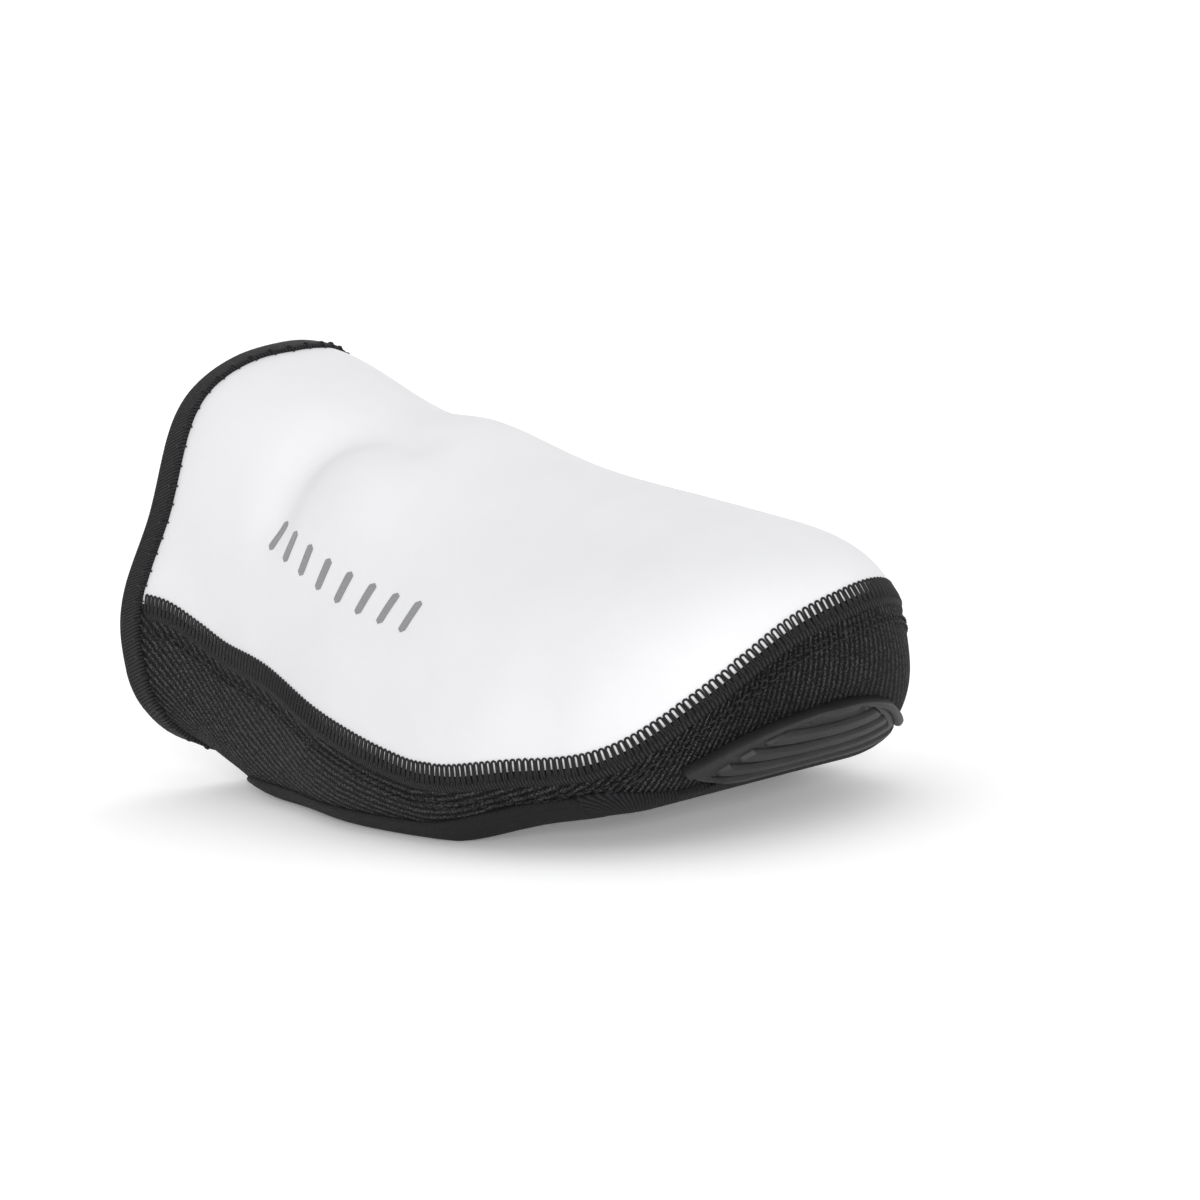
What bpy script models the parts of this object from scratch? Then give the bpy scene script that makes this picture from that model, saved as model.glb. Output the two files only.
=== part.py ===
"""Cycling toe cover for the right foot: an empty, open shell of six sewn and bonded pieces.

The toe points along +X, the lateral side is -Y and the cover stands on the taped edge of
the cleat opening. Every piece follows one surface, the last, which is drawn by sections.
Two numbers give a place on it: `around`, from -1 at the rear of the lateral side through
0 at the toe tip to 1 at the rear of the medial side, and `up`, from 0 at the middle of
the underside to 1 at the crest.
"""
import math
from functools import cache
from typing import NamedTuple

import bpy
import numpy as np

MM = 0.001

# Driving sizes of the last
LENGTH = 207 * MM
TOE_PIVOT_DEPTH = 34.5 * MM
HALF_WIDTH = 50 * MM
INSTEP_HEIGHT = 100 * MM
TOE_DRIFT = 8.5 * MM
GIRTH_HEIGHT = 19 * MM
ARCH_RISE = 11 * MM
TOE_SPRING = 25 * MM
SOLE_CORNER = 16 * MM
REAR_RAKE = 32 * MM
REAR_BLEND = 90 * MM

# Walls, tapes and clearances
NEOPRENE_WALL = 3.0 * MM
WOVEN_WALL = 1.6 * MM
TAPE = 0.8 * MM
FLAT_TAPE = 0.4 * MM
GAP = 0.35 * MM
INNER_GAP = 0.6 * MM
JOINT_GAP = 0.4 * MM
SEAM_WIDTH = 5.0 * MM
SEAM_RISE = 0.9 * MM
REAR_TAPE_WIDTH = 7.5 * MM
OPENING_TAPE_WIDTH = 7.5 * MM
INNER_TAPE_WIDTH = 5.0 * MM

# Band, opening and toe grip
BAND_HEIGHT = 36 * MM
STRAP_FRONT = 29.5 * MM
STRAP_CORNER = 17 * MM
OPENING_INSET = 9 * MM
OPENING_FRONT = 7.5 * MM
GRIP_INSET = 4.5 * MM
GRIP_DEPTH = TOE_PIVOT_DEPTH - GRIP_INSET - OPENING_FRONT - OPENING_TAPE_WIDTH
GRIP_SPREAD = 0.18
GRIP_BASE = 1.2 * MM
GRIP_RIB = 0.9 * MM
GRIP_RIM = 1.1 * MM
GRIP_RIB_COUNT = 5

SHANK = LENGTH - TOE_PIVOT_DEPTH
FAN = 0.30
FLAT_UP = 0.25
GIRTH_UP = 0.42
CORNER_POWER = 2.6
TOE_SIDE = 0.65
TOE_ROOF = 0.67


class Section(NamedTuple):
    """One cross-section of the last; lengths are shares of the named sizes."""

    at: float
    lateral: float
    medial: float
    crest: float
    drift: float
    side_lateral: float
    side_medial: float
    roof_lateral: float
    roof_medial: float
    girth: float


SECTIONS = (
    Section(0.00, 0.70, 0.68, 0.99, 0.00, 0.69, 0.70, 0.79, 0.75, 1.00),
    Section(0.17, 0.71, 0.70, 1.01, 0.12, 0.70, 0.67, 0.71, 0.68, 1.00),
    Section(0.35, 0.81, 0.76, 0.91, 0.24, 0.55, 0.57, 0.60, 0.56, 0.94),
    Section(0.52, 0.95, 0.86, 0.83, 0.47, 0.45, 0.50, 0.52, 0.51, 0.86),
    Section(0.70, 1.00, 0.98, 0.735, 0.70, 0.48, 0.54, 0.52, 0.52, 0.84),
    Section(0.86, 0.97, 1.02, 0.67, 0.94, 0.55, 0.63, 0.55, 0.60, 0.80),
    Section(1.00, 0.84, 0.93, 0.63, 0.94, 0.60, 0.66, 0.58, 0.64, 0.78),
)


class Bottom(NamedTuple):
    """Height of the underside at a share of the length, as shares of arch and spring."""

    at: float
    arch: float
    spring: float


BOTTOM = (
    Bottom(0.00, 1.00, 0.00),
    Bottom(0.07, 0.82, 0.00),
    Bottom(0.14, 0.38, 0.00),
    Bottom(0.20, 0.06, 0.00),
    Bottom(0.25, 0.00, 0.00),
    Bottom(0.61, 0.00, 0.00),
    Bottom(0.755, 0.00, 0.20),
    Bottom(0.90, 0.00, 0.45),
    Bottom(1.00, 0.00, 1.00),
)


class RearEdge(NamedTuple):
    """How far the rear edge lies forward at a height `up`, as a share of the rake."""

    up: float
    setback: float


REAR_EDGE = (
    RearEdge(0.00, 0.50),
    RearEdge(0.20, 0.41),
    RearEdge(0.28, 0.28),
    RearEdge(0.33, 0.10),
    RearEdge(0.45, -0.15),
    RearEdge(0.60, 0.36),
    RearEdge(0.80, 0.54),
    RearEdge(0.90, 0.72),
    RearEdge(0.98, 0.84),
    RearEdge(1.00, 0.84),
)


class SeamHeight(NamedTuple):
    """Height of the seam above the underside, as a share of the band's height."""

    around: float
    height: float


SEAM_LINE = (
    SeamHeight(-1.00, 1.00),
    SeamHeight(-0.80, 1.03),
    SeamHeight(-0.55, 0.67),
    SeamHeight(-0.32, 0.40),
    SeamHeight(0.00, 0.66),
    SeamHeight(0.20, 0.80),
    SeamHeight(0.45, 0.88),
    SeamHeight(0.70, 0.95),
    SeamHeight(1.00, 1.00),
)


class Mound(NamedTuple):
    """A soft swelling or hollow that the shoe's closure presses into the neoprene."""

    around: float
    up: float
    reach: float
    height: float


MOUNDS = (
    Mound(-0.87, 0.80, 24 * MM, 1.6 * MM),
    Mound(-0.75, 0.80, 11 * MM, -2.0 * MM),
    Mound(-0.72, 0.88, 10 * MM, -1.4 * MM),
    Mound(-0.66, 0.79, 15 * MM, 3.0 * MM),
    Mound(0.71, 0.97, 10 * MM, -1.6 * MM),
    Mound(0.64, 0.94, 14 * MM, 1.6 * MM),
)


class RowShare(NamedTuple):
    """Where a row of the woven piece lies between its lower edge and the seam."""

    strap: float
    side: float


WOVEN_ROWS = (
    RowShare(0.00, 0.00),
    RowShare(0.16, 0.07),
    RowShare(0.32, 0.15),
    RowShare(0.40, 0.24),
    RowShare(0.46, 0.34),
    RowShare(0.52, 0.45),
    RowShare(0.58, 0.57),
    RowShare(0.66, 0.69),
    RowShare(0.76, 0.80),
    RowShare(0.88, 0.90),
    RowShare(1.00, 1.00),
)

UPPER_ROWS = 11
STRAP_COLUMNS = 4
CORNER_STEPS = (0.03, 0.12, 0.25, 0.42, 0.66, 1.0)
SIDE_COLUMNS = 10
TOE_COLUMNS = (0.95, 0.90, 0.85, 0.79, 0.71, 0.60, 0.45, 0.30, 0.15, 0.0)


def blend(at, value, x):
    """Smooth curve through a table's points, level between two equal points."""
    at = np.asarray(at, float)
    value = np.asarray(value, float)
    step = np.diff(at)
    rise = np.diff(value) / step
    slope = np.empty_like(value)
    slope[0] = rise[0]
    slope[-1] = rise[-1]
    slope[1:-1] = (rise[:-1] * step[1:] + rise[1:] * step[:-1]) / (at[2:] - at[:-2])
    slope[1:-1][rise[:-1] * rise[1:] == 0] = 0
    x = np.clip(x, at[0], at[-1])
    i = np.clip(np.searchsorted(at, x, side="right") - 1, 0, len(at) - 2)
    h = at[i + 1] - at[i]
    t = (x - at[i]) / h
    start = (2 * t**3 - 3 * t**2 + 1) * value[i] + (t**3 - 2 * t**2 + t) * h * slope[i]
    end = (-2 * t**3 + 3 * t**2) * value[i + 1] + (t**3 - t**2) * h * slope[i + 1]
    return start + end


def column(table, name):
    """One named column of a table as an array."""
    return np.array([getattr(row, name) for row in table], float)


def section(name, x, size=1.0):
    """A section measure at the distance x from the rear plane."""
    return size * blend(column(SECTIONS, "at") * SHANK, column(SECTIONS, name), x)


def crest_height(x):
    """Height of the crest at the distance x."""
    return section("crest", x, INSTEP_HEIGHT)


def underside(x):
    """Height of the underside at the distance x."""
    at = column(BOTTOM, "at") * LENGTH
    arch = blend(at, column(BOTTOM, "arch"), x)
    spring = blend(at, column(BOTTOM, "spring"), x)
    return ARCH_RISE * arch + TOE_SPRING * spring


def crest_slope(x):
    """Slope of the crest line, measured over one millimetre."""
    x = np.clip(x, MM, SHANK - MM)
    return (crest_height(x + MM / 2) - crest_height(x - MM / 2)) / MM


def toe_outline(around):
    """Plan outline of the toe from the pivot's side round to the tip."""
    side = np.where(around < 0, -1.0, 1.0)
    t = 1 - np.abs(around) / FAN
    lateral = section("lateral", SHANK, HALF_WIDTH)
    medial = section("medial", SHANK, HALF_WIDTH)
    lateral_slope = (lateral - section("lateral", SHANK - 2 * MM, HALF_WIDTH)) / (2 * MM)
    medial_slope = (medial - section("medial", SHANK - 2 * MM, HALF_WIDTH)) / (2 * MM)
    y_side = np.where(around < 0, -lateral, medial)
    y_slope = np.where(around < 0, -lateral_slope, medial_slope)
    handle = 0.58 * TOE_PIVOT_DEPTH
    y_handle = TOE_DRIFT + side * np.abs(y_side - TOE_DRIFT) * 0.52
    weights = ((1 - t) ** 3, 3 * (1 - t) ** 2 * t, 3 * (1 - t) * t * t, t**3)
    xs = (SHANK, SHANK + handle, LENGTH, LENGTH)
    ys = (y_side, y_side + y_slope * handle, y_handle, TOE_DRIFT)
    x = sum(w * value for w, value in zip(weights, xs))
    y = sum(w * value for w, value in zip(weights, ys))
    return x, y


class Frame(NamedTuple):
    """Centre line and outline points of the section through a place on the last."""

    centre: np.ndarray
    outline: np.ndarray
    depth: np.ndarray
    reach: np.ndarray
    toe: np.ndarray


def section_frame(around, up):
    """Centre and outline of the section through each place."""
    in_toe = np.abs(around) < FAN
    x = SHANK * (1 - np.abs(around)) / (1 - FAN)
    setback = REAR_RAKE * blend(column(REAR_EDGE, "up"), column(REAR_EDGE, "setback"), up)
    shaped = x + setback * np.clip(1 - x / REAR_BLEND, 0, 1) ** 1.6
    depth = np.where(in_toe, SHANK, shaped)
    centre = np.stack([depth, section("drift", depth, TOE_DRIFT)], -1)
    lateral = section("lateral", depth, HALF_WIDTH)
    medial = section("medial", depth, HALF_WIDTH)
    toe_x, toe_y = toe_outline(np.clip(around, -FAN, FAN))
    outline_x = np.where(in_toe, toe_x, depth)
    outline_y = np.where(in_toe, toe_y, np.where(around < 0, -lateral, medial))
    outline = np.stack([outline_x, outline_y], -1)
    reach = np.linalg.norm(outline - centre, axis=-1)
    toe = np.clip((outline_x - depth) / reach, 0, 1)
    return Frame(centre, outline, depth, reach, toe)


def bare_last(around, up):
    """The last without its mounds: points at the given places."""
    around, up = np.broadcast_arrays(np.asarray(around, float), np.asarray(up, float))
    frame = section_frame(around, up)
    depth = frame.depth
    top = crest_height(depth)
    lateral = around < 0
    side = np.where(lateral, section("side_lateral", depth), section("side_medial", depth))
    roof = np.where(lateral, section("roof_lateral", depth), section("roof_medial", depth))
    side = side + (TOE_SIDE - side) * frame.toe
    roof = roof + (TOE_ROOF - roof) * frame.toe
    widest = underside(frame.outline[..., 0]) + section("girth", depth, GIRTH_HEIGHT)
    flat = 1 - SOLE_CORNER / frame.reach
    turn = np.clip((up - FLAT_UP) / (GIRTH_UP - FLAT_UP), 0, 1) * math.pi / 2
    out = np.sin(turn) ** (2 / CORNER_POWER)
    lift = 1 - np.cos(turn) ** (2 / CORNER_POWER)
    t = np.clip((up - GIRTH_UP) / (1 - GIRTH_UP), 0, 1)
    ahead = frame.outline[..., 0] - depth
    wall_out = (1 - t) ** 3 + 3 * (1 - t) ** 2 * t + 3 * (1 - t) * t * t * roof
    side_top = widest + side * (top - widest)
    roof_top = top + crest_slope(depth) * ahead * roof
    wall_up = (1 - t) ** 3 * widest + 3 * (1 - t) ** 2 * t * side_top
    wall_up = wall_up + 3 * (1 - t) * t * t * roof_top + t**3 * top
    below = flat * np.clip(up / FLAT_UP, 0, 1)
    share = np.where(up < FLAT_UP, below, np.where(up < GIRTH_UP, flat + (1 - flat) * out, wall_out))
    plan = frame.centre + share[..., None] * (frame.outline - frame.centre)
    floor = underside(plan[..., 0])
    low = floor + (widest - floor) * lift
    height = np.where(up < FLAT_UP, floor, np.where(up < GIRTH_UP, low, wall_up))
    return np.concatenate([plan, height[..., None]], -1)


@cache
def middle_of(mound):
    """Where a mound's middle lies on the last."""
    return bare_last(mound.around, mound.up)


def last(around, up):
    """Points of the last at the given places, with its mounds."""
    points = bare_last(around, up)
    core = np.zeros_like(points)
    core[..., 0] = points[..., 0]
    core[..., 1] = section("drift", np.minimum(points[..., 0], SHANK), TOE_DRIFT)
    core[..., 2] = 0.4 * crest_height(np.minimum(points[..., 0], SHANK))
    outward = points - core
    outward = outward / (np.linalg.norm(outward, axis=-1, keepdims=True) + 1e-9)
    push = np.zeros(points.shape[:-1])
    for mound in MOUNDS:
        away = ((points - middle_of(mound)) ** 2).sum(-1)
        push = push + mound.height * np.exp(-away / mound.reach**2)
    return points + outward * push[..., None]


def slopes(around, up):
    """How the last's points move with `around` and with `up`."""
    around, up = np.broadcast_arrays(np.asarray(around, float), np.asarray(up, float))
    small = 1e-4
    before = np.clip(around - small, -1, 1)
    after = np.clip(around + small, -1, 1)
    low = np.clip(up, 2e-3, 1 - 2e-3) - small
    high = low + 2 * small
    by_around = (last(after, up) - last(before, up)) / (after - before)[..., None]
    near_edge = last(after, low + small) - last(before, low + small)
    flat_spot = np.linalg.norm(by_around, axis=-1, keepdims=True) < 1e-4
    by_around = np.where(flat_spot, near_edge / (after - before)[..., None], by_around)
    by_up = (last(around, high) - last(around, low)) / (2 * small)
    return by_around, by_up


def unit(vectors):
    """Vectors at length one."""
    return vectors / (np.linalg.norm(vectors, axis=-1, keepdims=True) + 1e-12)


def normals(around, up):
    """Outward directions of the last."""
    by_around, by_up = slopes(around, up)
    return unit(np.cross(by_around, by_up))


def raised(around, up, height):
    """Points at a height over the last, below it where the height is negative."""
    height = np.asarray(height, float)[..., None]
    return last(around, up) + normals(around, up) * height


def walk(around, up, away, distance, steps=4):
    """Places reached by walking over the last in a direction, in short straight steps."""
    for _ in range(steps):
        by_around, by_up = slopes(around, up)
        a = (by_around * by_around).sum(-1)
        b = (by_around * by_up).sum(-1)
        c = (by_up * by_up).sum(-1)
        p = (by_around * away).sum(-1)
        q = (by_up * away).sum(-1)
        area = a * c - b * b
        around = around + (p * c - q * b) / area * distance / steps
        up = up + (q * a - p * b) / area * distance / steps
    return around, up


def seam_up(around):
    """The `up` value of the seam line at each place around."""
    around = np.atleast_1d(np.asarray(around, float))
    wanted = BAND_HEIGHT * blend(column(SEAM_LINE, "around"), column(SEAM_LINE, "height"), around)
    heights = np.linspace(FLAT_UP, 0.9, 120)
    result = np.empty_like(around)
    for i, place in enumerate(around):
        points = bare_last(np.full_like(heights, place), heights)
        over = points[:, 2] - underside(points[:, 0])
        result[i] = np.interp(wanted[i], over, heights)
    return result


def up_at_share(share, flat):
    """The `up` value where the sole reaches a share of the way to its outline."""
    turn = np.arcsin(np.clip((share - flat) / (1 - flat), 0, 1) ** (CORNER_POWER / 2))
    corner = FLAT_UP + (GIRTH_UP - FLAT_UP) * turn / (math.pi / 2)
    return np.where(share < flat, FLAT_UP * share / flat, corner)


def opening_up(around):
    """The `up` value of the cleat opening's edge; zero where the arch strap closes it."""
    around = np.atleast_1d(np.asarray(around, float))
    frame = section_frame(around, np.full_like(around, FLAT_UP))
    flat = 1 - SOLE_CORNER / frame.reach
    side_reach = np.where(around < 0, section("lateral", SHANK, HALF_WIDTH) + TOE_DRIFT * 0.94,
                          section("medial", SHANK, HALF_WIDTH) - TOE_DRIFT * 0.94)
    sideways = np.sqrt(np.clip(1 - frame.toe**2, 0, 1))
    across = sideways / (side_reach - OPENING_INSET)
    ahead = frame.toe / OPENING_FRONT
    toe_radius = (across**2.5 + ahead**2.5) ** (-1 / 2.5)
    radius = np.where(np.abs(around) < FAN, toe_radius, frame.reach - OPENING_INSET)
    edge = up_at_share(radius / frame.reach, flat)
    x = SHANK * (1 - np.abs(around)) / (1 - FAN)
    t = np.clip((x - STRAP_FRONT) / STRAP_CORNER, 0, 1)
    rounded = (1 - (1 - t) ** 3) ** (1 / 3)
    return edge * rounded


def places_around():
    """The columns shared by upper, woven piece and seam, from lateral to medial."""
    strap = np.linspace(0, STRAP_FRONT, STRAP_COLUMNS + 1)
    corner = STRAP_FRONT + STRAP_CORNER * np.array(CORNER_STEPS)
    side = np.linspace(corner[-1], SHANK, SIDE_COLUMNS + 1)[1:]
    x = np.concatenate([strap, corner, side])
    lateral = -(1 - x / SHANK * (1 - FAN))
    toe = -FAN * np.array(TOE_COLUMNS)
    half = np.concatenate([lateral, toe])
    return np.concatenate([half, -half[-2::-1]])


def woven_rows(around):
    """The `up` values of the woven piece's rows in one column."""
    low = opening_up(around)[0]
    high = seam_up(around)[0] - joint_half(around)
    side = low / opening_up(-0.5)[0]
    side = min(max(side, 0), 1)
    share = column(WOVEN_ROWS, "strap") * (1 - side) + column(WOVEN_ROWS, "side") * side
    return low + (high - low) * share


def upper_rows(around):
    """The `up` values of the neoprene's rows in one column."""
    low = seam_up(around)[0] + joint_half(around)
    return low + (1 - low) * np.linspace(0, 1, UPPER_ROWS + 1)


def joint_half(around):
    """Half of the gap between neoprene and woven edge, as an `up` value."""
    _, by_up = slopes(around, seam_up(around)[0])
    return JOINT_GAP / 2 / float(np.linalg.norm(by_up))


def material(name, colour, roughness):
    """A plain material with a colour and a roughness."""
    made = bpy.data.materials.new(name)
    made.use_nodes = True
    shader = made.node_tree.nodes["Principled BSDF"]
    shader.inputs["Base Color"].default_value = (*colour, 1)
    shader.inputs["Roughness"].default_value = roughness
    shader.inputs["Metallic"].default_value = 0.0
    made.diffuse_color = (*colour, 1)
    return made


def add_object(name, points, faces, finish):
    """A mesh object with one material, in the scene's collection."""
    mesh = bpy.data.meshes.new(name)
    mesh.from_pydata([tuple(point) for point in points], [], faces)
    mesh.validate()
    mesh.materials.append(finish)
    made = bpy.data.objects.new(name, mesh)
    bpy.context.scene.collection.objects.link(made)
    return made


def sheet_faces(ids):
    """Faces of a grid of point numbers, triangles where two corners are one point."""
    faces = []
    for i in range(len(ids) - 1):
        for j in range(len(ids[i]) - 1):
            corners = (ids[i][j], ids[i + 1][j], ids[i + 1][j + 1], ids[i][j + 1])
            kept = [c for k, c in enumerate(corners) if c != corners[k - 1]]
            if len(set(kept)) > 2:
                faces.append(tuple(kept))
    return faces


def solid_sheet(name, ids, outer, inner, finish):
    """A closed solid between two copies of a grid, walled along the grid's free edges."""
    faces = sheet_faces(ids)
    count = len(outer)
    once = {}
    for face in faces:
        for k, start in enumerate(face):
            end = face[(k + 1) % len(face)]
            if (end, start) in once:
                del once[(end, start)]
            else:
                once[(start, end)] = True
    walls = [(end, start, start + count, end + count) for start, end in once]
    back = [tuple(reversed([corner + count for corner in face])) for face in faces]
    return add_object(name, np.concatenate([outer, inner]), faces + back + walls, finish)


def ring(name, sections, finish):
    """A closed solid swept round a loop: `sections` holds one closed outline a station."""
    stations, corners = sections.shape[:2]
    faces = []
    for i in range(stations):
        after = (i + 1) % stations
        for j in range(corners):
            beside = (j + 1) % corners
            faces.append((i * corners + j, i * corners + beside,
                          after * corners + beside, after * corners + j))
    return add_object(name, sections.reshape(-1, 3), faces, finish)


class Grid:
    """Point numbers and places of a sheet that is gathered column by column."""

    def __init__(self):
        """Start an empty grid."""
        self.ids = []
        self.places = []

    def add_column(self, around, rows):
        """Add a column of places and number them."""
        start = len(self.places)
        self.places.extend((around, up) for up in rows)
        self.ids.append(list(range(start, start + len(rows))))

    def weld(self, row, columns):
        """Join a row's points of several columns to the first one's."""
        for i in columns[1:]:
            self.ids[i][row] = self.ids[columns[0]][row]

    def solid(self, name, outside, inside, finish):
        """Make the solid between two heights over the last."""
        used = sorted({number for ids in self.ids for number in ids})
        renumber = {old: new for new, old in enumerate(used)}
        ids = [[renumber[number] for number in column_ids] for column_ids in self.ids]
        places = np.array([self.places[number] for number in used])
        outer = raised(places[:, 0], places[:, 1], np.full(len(places), outside))
        inner = raised(places[:, 0], places[:, 1], np.full(len(places), inside))
        return solid_sheet(name, ids, outer, inner, finish)


def build_upper(columns):
    """The neoprene shell from the seam to the crest, open below and at the rear."""
    grid = Grid()
    for around in columns:
        grid.add_column(around, upper_rows(around))
    last_column = len(columns) - 1
    for i, around in enumerate(columns[: len(columns) // 2]):
        if around < -FAN:
            grid.weld(-1, (i, last_column - i))
    toe = [i for i, around in enumerate(columns) if abs(around) <= FAN + 1e-9]
    grid.weld(-1, toe)
    finish = material("white_neoprene", (0.80, 0.80, 0.81), 0.6)
    return grid.solid("neoprene_upper", 0.0, -NEOPRENE_WALL, finish)


def build_woven_base(columns):
    """The woven band and underside with its cleat opening, closed by the arch strap."""
    grid = Grid()
    for around in columns:
        grid.add_column(around, woven_rows(around))
    last_column = len(columns) - 1
    for i in range(STRAP_COLUMNS + 1):
        grid.weld(0, (i, last_column - i))
    finish = material("black_woven", (0.02, 0.02, 0.022), 0.8)
    return grid.solid("woven_base", 0.0, -WOVEN_WALL, finish)


def edge_places(side, distance, rows):
    """Places at a distance in front of the rear edge, on one side."""
    around = np.full(len(rows), float(side))
    by_around, _ = slopes(around, rows)
    step = distance / np.linalg.norm(by_around, axis=-1)
    return around - side * step


def build_seam(columns):
    """The raised stitched strip over the joint, ending short of the rear tape."""
    start = REAR_TAPE_WIDTH + 4 * GAP
    rear = seam_up([-1.0, 1.0])
    first = edge_places(-1, start, rear[:1])[0]
    final = edge_places(1, start, rear[1:])[0]
    inside = [c for c in columns if first + 0.008 < c < final - 0.008]
    profile = ((-1.0, 0.4), (-0.6, 1.0), (0.6, 1.0), (1.0, 0.4))
    outer = []
    inner = []
    ids = []
    for around in [first, *inside, final]:
        middle = seam_up(around)[0]
        _, by_up = slopes(around, middle)
        half = SEAM_WIDTH / 2 / float(np.linalg.norm(by_up))
        rows = np.array([middle + half * across for across, _ in profile])
        rise = np.array([GAP + SEAM_RISE * share for _, share in profile])
        places = np.full(len(rows), around)
        ids.append(list(range(len(outer), len(outer) + len(rows))))
        outer.extend(raised(places, rows, rise))
        inner.extend(raised(places, rows, np.full(len(rows), GAP)))
    finish = material("black_thread", (0.03, 0.03, 0.03), 0.85)
    return solid_sheet("flatlock_seam", ids, np.array(outer), np.array(inner), finish)


def tape_sections(around, up, away, wall, width):
    """Outlines of a tape folded over an edge, one for each station of the edge."""
    edge = last(around, up)
    out = normals(around, up)
    over = GAP + TAPE

    def at(distance, height):
        """Points at a distance from the edge and a height over the last."""
        height = np.broadcast_to(np.asarray(height, float), around.shape)
        if distance <= 0:
            return edge + away * distance + out * height[..., None]
        a, u = walk(around, up, away, distance)
        return raised(a, u, height)

    inside = -wall - INNER_GAP
    half_inner = INNER_TAPE_WIDTH * 0.5
    points = [
        at(width, over), at(width * 0.7, over), at(width * 0.4, over),
        at(width * 0.12, over), at(0, over),
        at(-over * 0.7, GAP + TAPE / 2), at(-over, -wall / 2), at(-over * 0.8, inside),
        at(0, inside - TAPE), at(half_inner, inside - TAPE),
        at(INNER_TAPE_WIDTH, inside - TAPE),
        at(INNER_TAPE_WIDTH, inside), at(half_inner, inside),
        at(-GAP, inside), at(-GAP, GAP),
        at(width * 0.4, GAP), at(width * 0.7, GAP), at(width, GAP),
    ]
    return np.stack(points, 1)


def build_rear_binding():
    """The grosgrain tape folded over the whole edge of the rear opening."""
    lateral_rows = np.concatenate([woven_rows(-1.0)[:-1], seam_up(-1.0), upper_rows(-1.0)[1:]])
    medial_rows = np.concatenate([woven_rows(1.0)[:-1], seam_up(1.0), upper_rows(1.0)[1:]])
    up = np.concatenate([lateral_rows, medial_rows[-2:0:-1]])
    side = np.concatenate([np.full(len(lateral_rows), -1.0), np.full(len(medial_rows) - 2, 1.0)])
    by_around, _ = slopes(side, up)
    away = unit(-side[:, None] * by_around)
    seam = np.where(side < 0, seam_up(-1.0)[0], seam_up(1.0)[0])
    thick = np.clip((up - seam + 0.07) / 0.04, 0, 1)
    wall = WOVEN_WALL + (NEOPRENE_WALL - WOVEN_WALL) * thick
    sections = tape_sections(side, up, away, wall, REAR_TAPE_WIDTH)
    finish = material("black_grosgrain", (0.025, 0.025, 0.027), 0.75)
    return ring("rear_binding", sections[:, ::-1], finish)


def build_opening_binding(columns):
    """The tape folded over the cleat opening's edge, pressed flat where it stands."""
    kept = [c for c in columns if opening_up(c)[0] > 0]
    strap = columns[STRAP_COLUMNS]
    around = np.array([strap, *kept, -strap])
    up = opening_up(around)
    middle = [(strap, 0.0)]
    first = up[1]
    lateral = [(strap + (kept[0] - strap) * (u / first) ** 3, u) for u in (first * 0.5,)]
    medial = [(-a, u) for a, u in reversed(lateral)]
    loop = middle + lateral + list(zip(around[1:-1], up[1:-1])) + medial
    around = np.array([place[0] for place in loop])
    up = np.array([place[1] for place in loop])
    edge = last(around, up)
    along = unit(np.roll(edge, -1, 0) - np.roll(edge, 1, 0))
    away = unit(np.cross(normals(around, up), along))
    sections = tape_sections(around, up, away, WOVEN_WALL, OPENING_TAPE_WIDTH)
    ball = np.array([-0.5])
    floor = last(ball, opening_up(ball))[0, 2] - GAP - FLAT_TAPE
    sections[..., 2] = np.maximum(sections[..., 2], floor)
    finish = material("black_edge_tape", (0.02, 0.02, 0.022), 0.7)
    return ring("cleat_opening_binding", sections, finish)


def place_at_plan(x, y):
    """Places on the toe's underside that lie at plan positions ahead of the pivot."""
    centre = np.array([SHANK, float(section("drift", SHANK, TOE_DRIFT))])
    around = np.linspace(-FAN, FAN, 241)
    outline = np.stack(toe_outline(around), -1) - centre
    bearing = np.arctan2(outline[:, 1], outline[:, 0])
    found = np.interp(np.arctan2(y - centre[1], x - centre[0]), bearing, around)
    reach = np.linalg.norm(np.stack(toe_outline(found), -1) - centre, axis=-1)
    share = np.hypot(x - centre[0], y - centre[1]) / reach
    return found, up_at_share(share, 1 - SOLE_CORNER / reach)


def grip_profile():
    """Rows from rear to tip and how much each one rises, rim and ribs in turn."""
    rows = [(0.0, "rim"), (0.05, "rim"), (0.07, "bed")]
    pitch = (0.93 - 0.10) / GRIP_RIB_COUNT
    for k in range(GRIP_RIB_COUNT):
        start = 0.10 + k * pitch
        rows += [(start + 0.02, "bed"), (start + 0.04, "rib"),
                 (start + pitch * 0.7, "rib"), (start + pitch * 0.7 + 0.02, "bed")]
    return rows + [(0.94, "bed"), (0.96, "rim"), (1.0, "rim")]


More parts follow.
